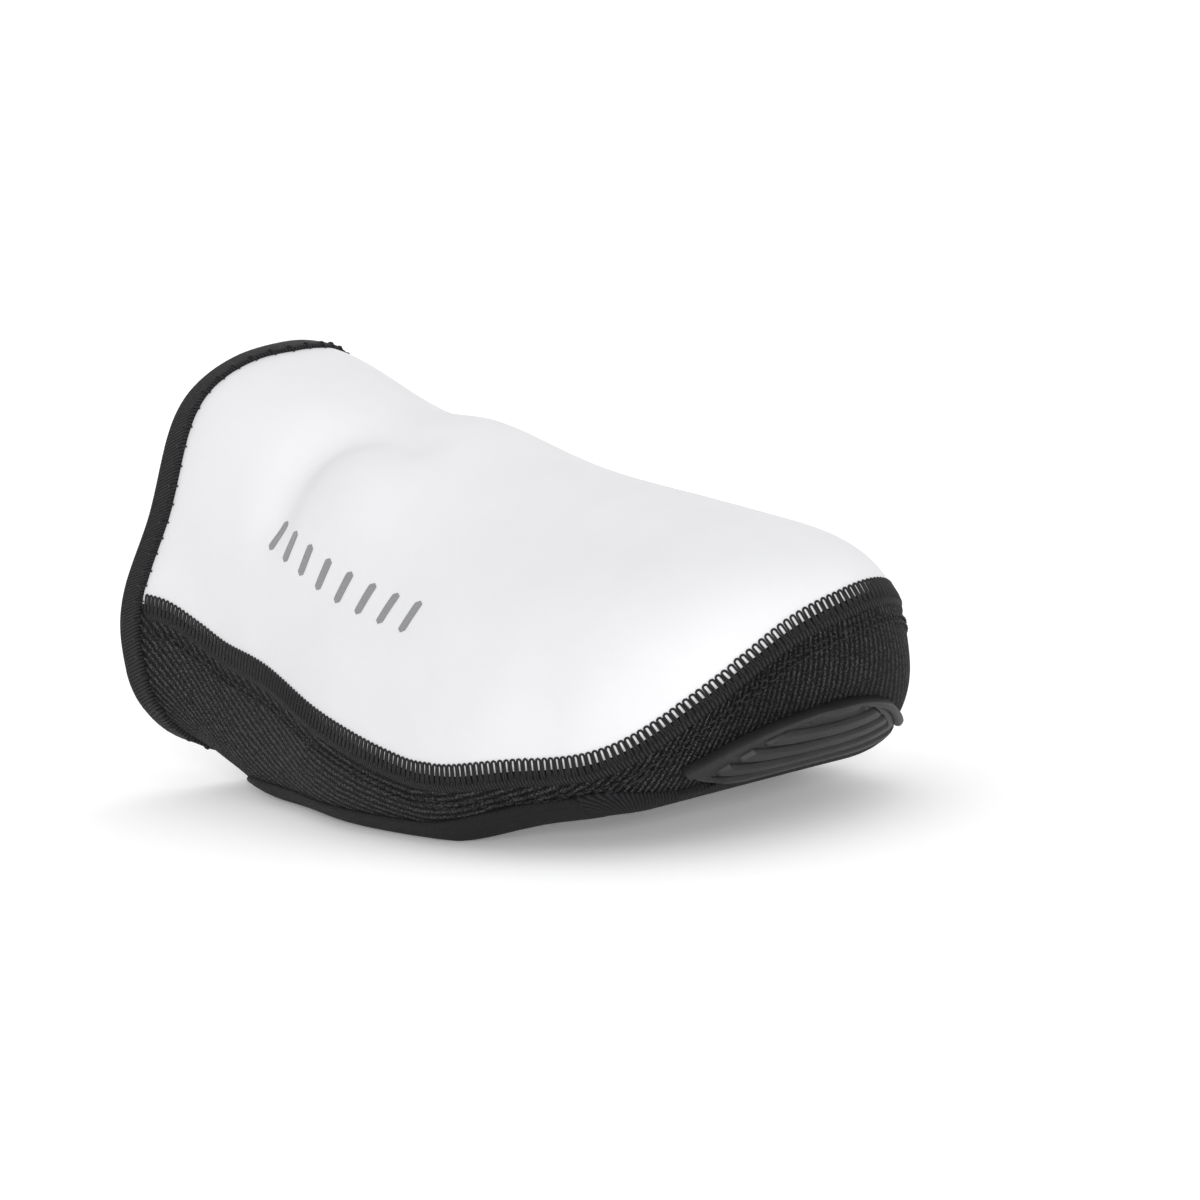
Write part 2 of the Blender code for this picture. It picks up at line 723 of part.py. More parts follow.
def build_toe_grip():
    """The rubber pad under the toe, with a rim and curved ribs from side to side."""
    across = (-1.0, -0.95, -0.93, -0.88, -0.86, -0.6, -0.3, 0.0)
    across = np.array(across + tuple(-a for a in across[-2::-1]))
    inner_share = GRIP_INSET
    tip_x = LENGTH - GRIP_INSET
    outer = []
    inner = []
    ids = []
    for share, kind in grip_profile():
        spread = GRIP_SPREAD * (1 - share) + 0.02 * share
        ends = []
        for side in (-1.0, 1.0):
            point = np.array(toe_outline(np.array(side * spread)))
            centre = np.array([SHANK, float(section("drift", SHANK, TOE_DRIFT))])
            reach = np.linalg.norm(point - centre)
            ends.append(centre + (point - centre) * (1 - inner_share / reach))
        middle = np.array([tip_x - GRIP_DEPTH * (1 - share), TOE_DRIFT])
        t = across[:, None]
        bow = (ends[0] + ends[1]) / 2 - middle
        plan = middle + (ends[1] - ends[0]) / 2 * t + bow * t * t
        around, up = place_at_plan(plan[:, 0], plan[:, 1])
        rim = np.abs(across) > 0.94
        rib = (np.abs(across) < 0.87) & (kind == "rib")
        rise = np.where(rim | (kind == "rim"), GRIP_RIM, np.where(rib, GRIP_RIB, 0.0))
        ids.append(list(range(len(outer), len(outer) + len(across)))[::-1])
        outer.extend(raised(around, up, GAP + GRIP_BASE + rise))
        inner.extend(raised(around, up, np.full(len(around), GAP)))
    finish = material("black_rubber", (0.035, 0.035, 0.037), 0.55)
    return solid_sheet("toe_grip", ids, np.array(outer), np.array(inner), finish)


def stand_on_origin(pieces):
    """Move all pieces together so that the middle of their base is the origin."""
    corners = np.concatenate([[v.co[:] for v in piece.data.vertices] for piece in pieces])
    low = corners.min(0)
    high = corners.max(0)
    shift = np.array([-(low[0] + high[0]) / 2, -(low[1] + high[1]) / 2, -low[2]])
    for piece in pieces:
        piece.location = tuple(shift)


def main():
    """Clear the scene and build the toe cover."""
    for old in list(bpy.data.objects):
        bpy.data.objects.remove(old, do_unlink=True)
    columns = places_around()
    pieces = [
        build_upper(columns),
        build_woven_base(columns),
        build_seam(columns),
        build_rear_binding(),
        build_opening_binding(columns),
        build_toe_grip(),
    ]
    stand_on_origin(pieces)


main()
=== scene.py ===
"""Looks of the right foot's cycling toe cover: neoprene, ribbed weave, seam, tapes and grip."""
import logging
import math
from collections.abc import Sequence
from dataclasses import dataclass, field
from enum import Enum
from typing import NamedTuple

import bpy
import numpy as np
from mathutils import Matrix, Vector


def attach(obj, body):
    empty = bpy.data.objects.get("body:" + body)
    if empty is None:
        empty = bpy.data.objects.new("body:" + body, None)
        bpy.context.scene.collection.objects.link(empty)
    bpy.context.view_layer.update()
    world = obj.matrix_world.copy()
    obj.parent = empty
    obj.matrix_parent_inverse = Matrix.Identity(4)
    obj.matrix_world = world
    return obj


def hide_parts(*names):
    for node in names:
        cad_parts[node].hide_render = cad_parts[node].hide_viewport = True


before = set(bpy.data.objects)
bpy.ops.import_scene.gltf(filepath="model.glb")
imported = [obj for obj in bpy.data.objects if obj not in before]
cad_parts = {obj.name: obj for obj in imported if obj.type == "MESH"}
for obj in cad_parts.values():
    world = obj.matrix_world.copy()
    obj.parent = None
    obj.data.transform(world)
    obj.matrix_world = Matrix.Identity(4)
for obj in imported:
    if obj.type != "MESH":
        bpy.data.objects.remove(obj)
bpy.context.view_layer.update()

LOG = logging.getLogger("toe_cover")
MM = 0.001
MERGE_DISTANCE = 2e-6
COLLAPSED_EDGE = 1e-7
Array = np.ndarray


class Side(Enum):
    """The two rear corners of the cover, as the place around its edge."""

    LATERAL = -1.0
    MEDIAL = 1.0


class Section(NamedTuple):
    """One cross-section of the last; lengths are shares of the named sizes."""

    at: float
    lateral: float
    medial: float
    crest: float
    drift: float
    side_lateral: float
    side_medial: float
    roof_lateral: float
    roof_medial: float
    girth: float


class Bottom(NamedTuple):
    """Height of the underside at a share of the length, as shares of arch and spring."""

    at: float
    arch: float
    spring: float


class RearEdge(NamedTuple):
    """How far the rear edge lies forward at a height, as a share of the rake."""

    up: float
    setback: float


class SeamHeight(NamedTuple):
    """Height of the seam above the underside, as a share of the band's height."""

    around: float
    height: float


class Mound(NamedTuple):
    """A soft swelling or hollow in the neoprene."""

    around: float
    up: float
    reach: float
    height: float


class Trough(NamedTuple):
    """A point on the soft trough that borders the round swelling."""

    around: float
    up: float


SECTIONS = (
    Section(0.00, 0.70, 0.68, 0.99, 0.00, 0.69, 0.70, 0.79, 0.75, 1.00),
    Section(0.17, 0.71, 0.70, 1.01, 0.12, 0.70, 0.67, 0.71, 0.68, 1.00),
    Section(0.35, 0.81, 0.76, 0.91, 0.24, 0.55, 0.57, 0.60, 0.56, 0.94),
    Section(0.52, 0.95, 0.86, 0.83, 0.47, 0.45, 0.50, 0.52, 0.51, 0.86),
    Section(0.70, 1.00, 0.98, 0.735, 0.70, 0.48, 0.54, 0.52, 0.52, 0.84),
    Section(0.86, 0.97, 1.02, 0.67, 0.94, 0.55, 0.63, 0.55, 0.60, 0.80),
    Section(1.00, 0.84, 0.93, 0.63, 0.94, 0.60, 0.66, 0.58, 0.64, 0.78),
)
BOTTOM = (
    Bottom(0.00, 1.00, 0.00),
    Bottom(0.07, 0.82, 0.00),
    Bottom(0.14, 0.38, 0.00),
    Bottom(0.20, 0.06, 0.00),
    Bottom(0.25, 0.00, 0.00),
    Bottom(0.61, 0.00, 0.00),
    Bottom(0.755, 0.00, 0.20),
    Bottom(0.90, 0.00, 0.45),
    Bottom(1.00, 0.00, 1.00),
)
REAR_EDGE = (
    RearEdge(0.00, 0.50),
    RearEdge(0.20, 0.41),
    RearEdge(0.28, 0.28),
    RearEdge(0.33, 0.10),
    RearEdge(0.45, -0.15),
    RearEdge(0.60, 0.36),
    RearEdge(0.80, 0.54),
    RearEdge(0.90, 0.72),
    RearEdge(0.98, 0.84),
    RearEdge(1.00, 0.84),
)
SEAM_LINE = (
    SeamHeight(-1, 0.96),
    SeamHeight(-0.8, 0.945),
    SeamHeight(-0.6, 0.64),
    SeamHeight(-0.52, 0.52),
    SeamHeight(-0.41, 0.39),
    SeamHeight(-0.32, 0.33),
    SeamHeight(-0.21, 0.315),
    SeamHeight(-0.125, 0.385),
    SeamHeight(-0.045, 0.54),
    SeamHeight(0.02, 0.62),
    SeamHeight(0.11, 0.7),
    SeamHeight(0.2, 0.76),
    SeamHeight(0.45, 0.84),
    SeamHeight(0.7, 0.91),
    SeamHeight(1, 0.96),
)
MOUNDS = (
    Mound(-0.87, 0.80, 24 * MM, 1.6 * MM),
    Mound(-0.76, 0.80, 11 * MM, -1.4 * MM),
    Mound(-0.66, 0.79, 15 * MM, 3.6 * MM),
    Mound(0.71, 0.97, 13 * MM, -1.8 * MM),
    Mound(0.63, 0.94, 15 * MM, 1.4 * MM),
    Mound(-0.47, 0.93, 13 * MM, 0.7 * MM),
    Mound(-0.55, 0.70, 12 * MM, -0.6 * MM),
    Mound(0.60, 0.75, 16 * MM, 1.0 * MM),
)
TROUGH = (
    Trough(-0.770, 0.69),
    Trough(-0.765, 0.75),
    Trough(-0.755, 0.812),
    Trough(-0.727, 0.862),
    Trough(-0.685, 0.893),
    Trough(-0.645, 0.897),
)


def blend(at: Array, value: Array, x: Array | float) -> Array:
    """Follow a smooth curve through a table's points.

    Args:
        at: Where the points lie, rising.
        value: The points' values.
        x: Where the curve is read.

    Returns:
        The curve's values, level between two equal points.
    """
    step = np.diff(at)
    rise = np.diff(value) / step
    slope = np.empty_like(value)
    slope[0] = rise[0]
    slope[-1] = rise[-1]
    slope[1:-1] = (rise[:-1] * step[1:] + rise[1:] * step[:-1]) / (at[2:] - at[:-2])
    slope[1:-1][rise[:-1] * rise[1:] == 0] = 0
    x = np.clip(x, at[0], at[-1])
    i = np.clip(np.searchsorted(at, x, side="right") - 1, 0, len(at) - 2)
    h = at[i + 1] - at[i]
    t = (x - at[i]) / h
    start = (2 * t**3 - 3 * t**2 + 1) * value[i] + (t**3 - 2 * t**2 + t) * h * slope[i]
    end = (-2 * t**3 + 3 * t**2) * value[i + 1] + (t**3 - t**2) * h * slope[i + 1]
    return start + end


def column(table: Sequence[NamedTuple], name: str) -> Array:
    """Read one named column of a table."""
    return np.array([getattr(row, name) for row in table], float)


def unit(vectors: Array) -> Array:
    """Bring vectors to length one."""
    return vectors / (np.linalg.norm(vectors, axis=-1, keepdims=True) + 1e-12)


@dataclass
class Last:
    """The surface that every piece follows, read by place: `around` and `up`."""

    length: float = 207 * MM
    toe_depth: float = 34.5 * MM
    half_width: float = 50 * MM
    instep: float = 100 * MM
    drift: float = 8.5 * MM
    girth: float = 19 * MM
    arch: float = 11 * MM
    spring: float = 25 * MM
    corner: float = 16 * MM
    rake: float = 32 * MM
    rear_blend: float = 90 * MM
    band: float = 36 * MM
    trough_depth: float = 2.5 * MM
    trough_reach: float = 7.0 * MM
    fan: float = 0.30
    flat_up: float = 0.25
    girth_up: float = 0.42
    power: float = 2.6
    toe_side: float = 0.65
    toe_roof: float = 0.67
    origin: tuple[float, float, float] = (-0.1007, 0.0, 0.0)
    middles: list[Array] = field(default_factory=list)
    trough_points: Array | None = None

    def __post_init__(self) -> None:
        """Place the mounds and the trough on the bare surface."""
        self.shank = self.length - self.toe_depth
        self.middles = [self.bare(mound.around, mound.up) for mound in MOUNDS]
        steps = np.linspace(0, 1, 41)
        at = np.linspace(0, 1, len(TROUGH))
        around = blend(at, column(TROUGH, "around"), steps)
        up = blend(at, column(TROUGH, "up"), steps)
        self.trough_points = self.bare(around, up)

    def section(self, name: str, x: Array | float, size: float = 1.0) -> Array:
        """Read a section measure at a distance from the rear plane."""
        return size * blend(column(SECTIONS, "at") * self.shank, column(SECTIONS, name), x)

    def crest(self, x: Array | float) -> Array:
        """Height of the crest at a distance from the rear plane."""
        return self.section("crest", x, self.instep)

    def underside(self, x: Array | float) -> Array:
        """Height of the underside, which rises under the arch and at the toe's spring.

        Args:
            x: Distances ahead of the rear plane.

        Returns:
            Heights over the floor.
        """
        at = column(BOTTOM, "at") * self.length
        arch = blend(at, column(BOTTOM, "arch"), x)
        spring = blend(at, column(BOTTOM, "spring"), x)
        return self.arch * arch + self.spring * spring

    def crest_slope(self, x: Array) -> Array:
        """Slope of the crest line, measured over one millimetre."""
        x = np.clip(x, MM, self.shank - MM)
        return (self.crest(x + MM / 2) - self.crest(x - MM / 2)) / MM

    def toe_outline(self, around: Array) -> tuple[Array, Array]:
        """Plan outline of the toe.

        Args:
            around: Places within the toe's fan.

        Returns:
            Distances ahead and sideways.
        """
        side = np.where(around < 0, -1.0, 1.0)
        t = 1 - np.abs(around) / self.fan
        lateral = self.section("lateral", self.shank, self.half_width)
        medial = self.section("medial", self.shank, self.half_width)
        back = self.shank - 2 * MM
        lateral_slope = (lateral - self.section("lateral", back, self.half_width)) / (2 * MM)
        medial_slope = (medial - self.section("medial", back, self.half_width)) / (2 * MM)
        y_side = np.where(around < 0, -lateral, medial)
        y_slope = np.where(around < 0, -lateral_slope, medial_slope)
        handle = 0.58 * self.toe_depth
        y_handle = self.drift + side * np.abs(y_side - self.drift) * 0.52
        weights = ((1 - t) ** 3, 3 * (1 - t) ** 2 * t, 3 * (1 - t) * t * t, t**3)
        xs = (self.shank, self.shank + handle, self.length, self.length)
        ys = (y_side, y_side + y_slope * handle, y_handle, self.drift)
        x = sum(w * value for w, value in zip(weights, xs))
        y = sum(w * value for w, value in zip(weights, ys))
        return x, y

    def frame_at(self, around: Array, up: Array) -> tuple[Array, Array, Array]:
        """Centre and outline of the section through each place.

        Args:
            around: Places around the edge.
            up: Places from underside to crest.

        Returns:
            Centre points in plan, outline points in plan, and the section's depth.
        """
        in_toe = np.abs(around) < self.fan
        x = self.shank * (1 - np.abs(around)) / (1 - self.fan)
        setback = self.rake * blend(column(REAR_EDGE, "up"), column(REAR_EDGE, "setback"), up)
        shaped = x + setback * np.clip(1 - x / self.rear_blend, 0, 1) ** 1.6
        depth = np.where(in_toe, self.shank, shaped)
        centre = np.stack([depth, self.section("drift", depth, self.drift)], -1)
        lateral = self.section("lateral", depth, self.half_width)
        medial = self.section("medial", depth, self.half_width)
        toe_x, toe_y = self.toe_outline(np.clip(around, -self.fan, self.fan))
        outline_x = np.where(in_toe, toe_x, depth)
        outline_y = np.where(in_toe, toe_y, np.where(around < 0, -lateral, medial))
        return centre, np.stack([outline_x, outline_y], -1), depth

    def bare(self, around: Array | float, up: Array | float) -> Array:
        """Points of the surface without its mounds.

        Args:
            around: Places around the edge, from lateral rear (-1) over the tip (0) to medial (1).
            up: Places from the underside's middle (0) to the crest (1).

        Returns:
            Points in the frame's own coordinates.
        """
        around, up = np.broadcast_arrays(np.asarray(around, float), np.asarray(up, float))
        centre, outline, depth = self.frame_at(around, up)
        reach = np.linalg.norm(outline - centre, axis=-1)
        ahead = outline[..., 0] - depth
        toe = np.clip(ahead / reach, 0, 1)
        top = self.crest(depth)
        lateral = around < 0
        side = np.where(lateral, self.section("side_lateral", depth),
                        self.section("side_medial", depth))
        roof = np.where(lateral, self.section("roof_lateral", depth),
                        self.section("roof_medial", depth))
        side = side + (self.toe_side - side) * toe
        roof = roof + (self.toe_roof - roof) * toe
        widest = self.underside(outline[..., 0]) + self.section("girth", depth, self.girth)
        flat = 1 - self.corner / reach
        turn = (up - self.flat_up) / (self.girth_up - self.flat_up)
        turn = np.clip(turn, 0, 1) * math.pi / 2
        out = np.sin(turn) ** (2 / self.power)
        lift = 1 - np.cos(turn) ** (2 / self.power)
        t = np.clip((up - self.girth_up) / (1 - self.girth_up), 0, 1)
        wall_out = (1 - t) ** 3 + 3 * (1 - t) ** 2 * t + 3 * (1 - t) * t * t * roof
        side_top = widest + side * (top - widest)
        roof_top = top + self.crest_slope(depth) * ahead * roof
        wall_up = (1 - t) ** 3 * widest + 3 * (1 - t) ** 2 * t * side_top
        wall_up = wall_up + 3 * (1 - t) * t * t * roof_top + t**3 * top
        # Flat sole first, then its rounded corner, then side and roof as one smooth curve.
        below = flat * np.clip(up / self.flat_up, 0, 1)
        turned = np.where(up < self.girth_up, flat + (1 - flat) * out, wall_out)
        share = np.where(up < self.flat_up, below, turned)
        plan = centre + share[..., None] * (outline - centre)
        floor = self.underside(plan[..., 0])
        low = floor + (widest - floor) * lift
        high = np.where(up < self.girth_up, low, wall_up)
        height = np.where(up < self.flat_up, floor, high)
        return np.concatenate([plan, height[..., None]], -1) + np.array(self.origin)

    def points(self, around: Array | float, up: Array | float) -> Array:
        """Points of the surface with its mounds and its trough.

        Args:
            around: Places around the edge.
            up: Places from underside to crest.

        Returns:
            Points, each pushed away from the cover's core or towards it.
        """
        points = self.bare(around, up)
        x = np.minimum(points[..., 0] - self.origin[0], self.shank)
        core = np.stack([points[..., 0], self.section("drift", x, self.drift),
                         0.4 * self.crest(x)], -1)
        push = np.zeros(points.shape[:-1])
        for mound, middle in zip(MOUNDS, self.middles):
            away = ((points - middle) ** 2).sum(-1)
            push = push + mound.height * np.exp(-away / mound.reach**2)
        if self.trough_points is not None:
            gap = points[..., None, :] - self.trough_points
            nearest = (gap**2).sum(-1).min(-1)
            push = push - self.trough_depth * np.exp(-nearest / self.trough_reach**2)
        return points + unit(points - core) * push[..., None]

    def slopes(self, around: Array, up: Array) -> tuple[Array, Array]:
        """How the points move with `around` and with `up`.

        Args:
            around: Places around the edge.
            up: Places from underside to crest.

        Returns:
            Change of place for a whole step of `around`, and for one of `up`.
        """
        around, up = np.broadcast_arrays(np.asarray(around, float), np.asarray(up, float))
        small = 1e-4
        before = np.clip(around - small, -1, 1)
        after = np.clip(around + small, -1, 1)
        low = np.clip(up, 2e-3, 1 - 2e-3) - small
        by_around = self.points(after, low) - self.points(before, low)
        by_around = by_around / (after - before)[..., None]
        by_up = self.points(around, low + 2 * small) - self.points(around, low)
        return by_around, by_up / (2 * small)

    def normals(self, around: Array, up: Array) -> Array:
        """Outward directions of the surface."""
        by_around, by_up = self.slopes(around, up)
        return unit(np.cross(by_around, by_up))

    def raised(self, around: Array, up: Array, height: Array | float) -> Array:
        """Points at a height over the surface."""
        height = np.broadcast_to(np.asarray(height, float), np.shape(around))
        return self.points(around, up) + self.normals(around, up) * height[..., None]

    def walk(self, around: Array, up: Array, away: Array,
             distance: Array | float) -> tuple[Array, Array]:
        """Walk over the surface in short straight steps.

        Args:
            around: Starting places.
            up: Starting heights.
            away: Directions of the walk.
            distance: How far it goes.

        Returns:
            The places and heights that are reached.
        """
        steps = 4
        for _ in range(steps):
            by_around, by_up = self.slopes(around, up)
            level = (by_around * by_around).sum(-1)
            mixed = (by_around * by_up).sum(-1)
            steep = (by_up * by_up).sum(-1)
            aside = (by_around * away).sum(-1)
            aloft = (by_up * away).sum(-1)
            area = level * steep - mixed * mixed
            around = around + (aside * steep - aloft * mixed) / area * distance / steps
            up = up + (aloft * level - aside * mixed) / area * distance / steps
        return around, up

    def seam(self, around: Array) -> Array:
        """Find the seam line.

        Args:
            around: Places around the edge.

        Returns:
            Heights of the seam, as `up`.
        """
        around = np.atleast_1d(np.asarray(around, float))
        share = blend(column(SEAM_LINE, "around"), column(SEAM_LINE, "height"), around)
        ladder = np.linspace(self.flat_up, 0.9, 120)
        points = self.bare(around[:, None], ladder[None, :])
        over = points[..., 2] - self.underside(points[..., 0] - self.origin[0])
        found = [np.interp(self.band * s, row, ladder) for s, row in zip(share, over)]
        return np.array(found)

    def up_from(self, around: Array, distances: Sequence[float]) -> Array:
        """Heights, as `up`, at distances above or below the seam.

        Args:
            around: Places around the edge.
            distances: Signed distances along the surface.

        Returns:
            One row of heights for each distance.
        """
        ladder = np.concatenate([np.linspace(0.1, 0.40, 25), np.linspace(0.405, 0.44, 25),
                                 np.linspace(0.45, 0.85, 50)])
        points = self.points(around[:, None], ladder[None, :])
        steps = np.linalg.norm(np.diff(points, axis=1), axis=-1)
        way = np.concatenate([np.zeros((len(around), 1)), np.cumsum(steps, axis=1)], 1)
        start = [np.interp(s, ladder, row) for s, row in zip(self.seam(around), way)]
        wanted = np.array(start)[None, :] + np.array(distances, float)[:, None]
        found = [np.interp(wanted[:, i], way[i], ladder) for i in range(len(around))]
        return np.array(found).T

    def up_at_share(self, share: Array, flat: Array) -> Array:
        """Find where the sole reaches a share of the way to its outline.

        Args:
            share: Wanted shares of the way.
            flat: Shares of the way over which the sole is flat.

        Returns:
            Places from underside to crest.
        """
        turn = np.clip((share - flat) / (1 - flat), 0, 1) ** (self.power / 2)
        rise = (self.girth_up - self.flat_up) * np.arcsin(turn) / (math.pi / 2)
        return np.where(share < flat, self.flat_up * share / flat, self.flat_up + rise)


@dataclass
class CleatOpening:
    """The opening's edge in the woven underside."""

    last: Last
    inset: float = 9 * MM
    front: float = 7.5 * MM
    strap_front: float = 29.5 * MM
    strap_corner: float = 17 * MM

    def up(self, around: Array) -> Array:
        """Find the opening's edge.

        Args:
            around: Places around the edge of the cover.

        Returns:
            Heights of the opening's edge, as `up`; zero where the strap closes it.
        """
        last = self.last
        around = np.atleast_1d(np.asarray(around, float))
        centre, outline, depth = last.frame_at(around, np.full_like(around, last.flat_up))
        reach = np.linalg.norm(outline - centre, axis=-1)
        toe = np.clip((outline[..., 0] - depth) / reach, 0, 1)
        lateral = last.section("lateral", last.shank, last.half_width) + last.drift * 0.94
        medial = last.section("medial", last.shank, last.half_width) - last.drift * 0.94
        side_reach = np.where(around < 0, lateral, medial)
        across = np.sqrt(np.clip(1 - toe**2, 0, 1)) / (side_reach - self.inset)
        radius = (across**2.5 + (toe / self.front) ** 2.5) ** (-1 / 2.5)
        radius = np.where(np.abs(around) < last.fan, radius, reach - self.inset)
        edge = last.up_at_share(radius / reach, 1 - last.corner / reach)
        x = last.shank * (1 - np.abs(around)) / (1 - last.fan)
        t = np.clip((x - self.strap_front) / self.strap_corner, 0, 1)
        return edge * (1 - (1 - t) ** 3) ** (1 / 3)

    def columns(self, strap: int, corner: int, side: int, toe: int) -> Array:
        """Choose places around, dense at the strap's corners and at the tip.

        Args:
            strap: Steps along the strap.
            corner: Steps round its corner.
            side: Steps along the side.
            toe: Steps round half of the toe.

        Returns:
            Places from the lateral rear to the medial rear.
        """
        back = np.linspace(0, self.strap_front, strap + 1)
        turn = self.strap_front + self.strap_corner * np.linspace(0, 1, corner + 1)[1:] ** 2
        flank = np.linspace(turn[-1], self.last.shank, side + 1)[1:]
        x = np.concatenate([back, turn, flank])
        lateral = -(1 - x / self.last.shank * (1 - self.last.fan))
        fan = -self.last.fan * (1 - np.linspace(0, 1, toe + 1)[1:] ** 1.25)
        half = np.concatenate([lateral, fan])
        return np.concatenate([half, -half[-2::-1]])


class Shader:
    """A material under construction, with short ways to add nodes."""

    def __init__(self, name: str) -> None:
        """Start a material with a plain shader.

        Args:
            name: The material's name.
        """
        self.material = bpy.data.materials.new(name)
        self.material.use_nodes = True
        self.tree = self.material.node_tree
        self.surface = self.tree.nodes["Principled BSDF"]

    def node(self, kind: str, **settings: object) -> bpy.types.Node:
        """Add a node and set its fields.

        Args:
            kind: Blender's name of the node's kind.
            settings: Fields and their values.

        Returns:
            The new node.
        """
        made = self.tree.nodes.new(kind)
        for key, value in settings.items():
            setattr(made, key, value)
        return made

    def link(self, start: bpy.types.NodeSocket, end: bpy.types.NodeSocket) -> None:
        """Join two sockets."""
        self.tree.links.new(start, end)

    def math(self, operation: str, a: object, b: object = 0.0) -> bpy.types.NodeSocket:
        """Work on two sockets or numbers.

        Args:
            operation: Blender's name of it. MULTIPLY_ADD adds the node's own third value, 0.5.
            a: First socket or number.
            b: Second socket or number.

        Returns:
            The socket of the result.
        """
        made = self.node("ShaderNodeMath", operation=operation)
        for socket, value in zip(made.inputs, (a, b)):
            if isinstance(value, bpy.types.NodeSocket):
                self.link(value, socket)
            else:
                socket.default_value = value
        return made.outputs[0]

    def noise(self, scale: float, detail: float = 3.0) -> bpy.types.NodeSocket:
        """Add noise on the object's own coordinates.

        Args:
            scale: How many spots lie on a metre.
            detail: How fine its smallest spots are.

        Returns:
            The socket of the noise, from 0 to 1.
        """
        place = self.node("ShaderNodeTexCoord")
        made = self.node("ShaderNodeTexNoise")
        made.inputs["Scale"].default_value = scale
        made.inputs["Detail"].default_value = detail
        self.link(place.outputs["Object"], made.inputs["Vector"])
        return made.outputs["Fac"]

    def uv(self) -> tuple[bpy.types.NodeSocket, bpy.types.NodeSocket]:
        """Read the piece's own map.

        Returns:
            The sockets of its two distances.
        """
        place = self.node("ShaderNodeUVMap", uv_map="UVMap")
        parts = self.node("ShaderNodeSeparateXYZ")
        self.link(place.outputs["UV"], parts.inputs["Vector"])
        return parts.outputs["X"], parts.outputs["Y"]

    def wave(self, distance: bpy.types.NodeSocket, pitch: float) -> bpy.types.NodeSocket:
        """Make a wave from 0 to 1 along a distance."""
        turns = self.math("MULTIPLY", distance, 2 * math.pi / pitch)
        return self.math("MULTIPLY_ADD", self.math("SINE", turns), 0.5)

    def colour(self, factor: bpy.types.NodeSocket, dark: Sequence[float],
               light: Sequence[float]) -> None:
        """Colour the surface between two tones.

        Args:
            factor: Socket that runs from 0, dark, to 1, light.
            dark: The dark tone.
            light: The light tone.
        """
        ramp = self.node("ShaderNodeValToRGB")
        ramp.color_ramp.elements[0].color = (*dark, 1)
        ramp.color_ramp.elements[1].color = (*light, 1)
        self.link(factor, ramp.inputs["Fac"])
        self.link(ramp.outputs["Color"], self.surface.inputs["Base Color"])

    def bump(self, height: bpy.types.NodeSocket, distance: float, strength: float = 1.0) -> None:
        """Roughen the surface.

        Args:
            height: Socket of the height, from 0 to 1.
            distance: The height that 1 stands for, in metres.
            strength: Share of the effect.
        """
        made = self.node("ShaderNodeBump")
        made.inputs["Strength"].default_value = strength
        made.inputs["Distance"].default_value = distance
        self.link(height, made.inputs["Height"])
        self.link(made.outputs["Normal"], self.surface.inputs["Normal"])

    def gloss(self, roughness: float, sheen: float = 0.0, shine: float = 0.5) -> None:
        """Set how the surface shines.

        Args:
            roughness: How dull its shine is.
            sheen: How much it glows at its edges, as fuzz does.
            shine: How strong its shine is.
        """
        self.surface.inputs["Roughness"].default_value = roughness
        self.surface.inputs["Specular IOR Level"].default_value = shine
        self.surface.inputs["Sheen Weight"].default_value = sheen
        self.surface.inputs["Sheen Roughness"].default_value = 0.5


@dataclass(frozen=True)
class NeopreneSkin:
    """Matt white skin of the neoprene, faintly mottled."""

    dark: tuple[float, float, float] = (0.70, 0.70, 0.715)
    light: tuple[float, float, float] = (0.76, 0.76, 0.775)

    def make(self) -> bpy.types.Material:
        """Make the material.

        Returns:
            The material, ready to dress a piece.
        """
        shader = Shader("white_neoprene_skin")
        soft = shader.noise(45.0, 4.0)
        fine = shader.noise(1400.0, 2.0)
        shader.colour(soft, self.dark, self.light)
        height = shader.math("ADD", shader.math("MULTIPLY", soft, 0.7), fine)
        shader.bump(height, 0.00006, 0.7)
        shader.gloss(0.6, 0.0, 0.25)
        return shader.material


@dataclass(frozen=True)
class JerseyLining:
    """Black knitted jersey on the inside of the neoprene."""

    dark: tuple[float, float, float] = (0.006, 0.006, 0.007)
    light: tuple[float, float, float] = (0.03, 0.03, 0.032)

    def make(self) -> bpy.types.Material:
        """Make the material.

        Returns:
            The material, ready to dress a piece.
        """
        shader = Shader("black_jersey_lining")
        fine = shader.noise(1600.0, 3.0)
        shader.colour(fine, self.dark, self.light)
        shader.bump(fine, 0.00015)
        shader.gloss(0.9, 0.05, 0.1)
        return shader.material


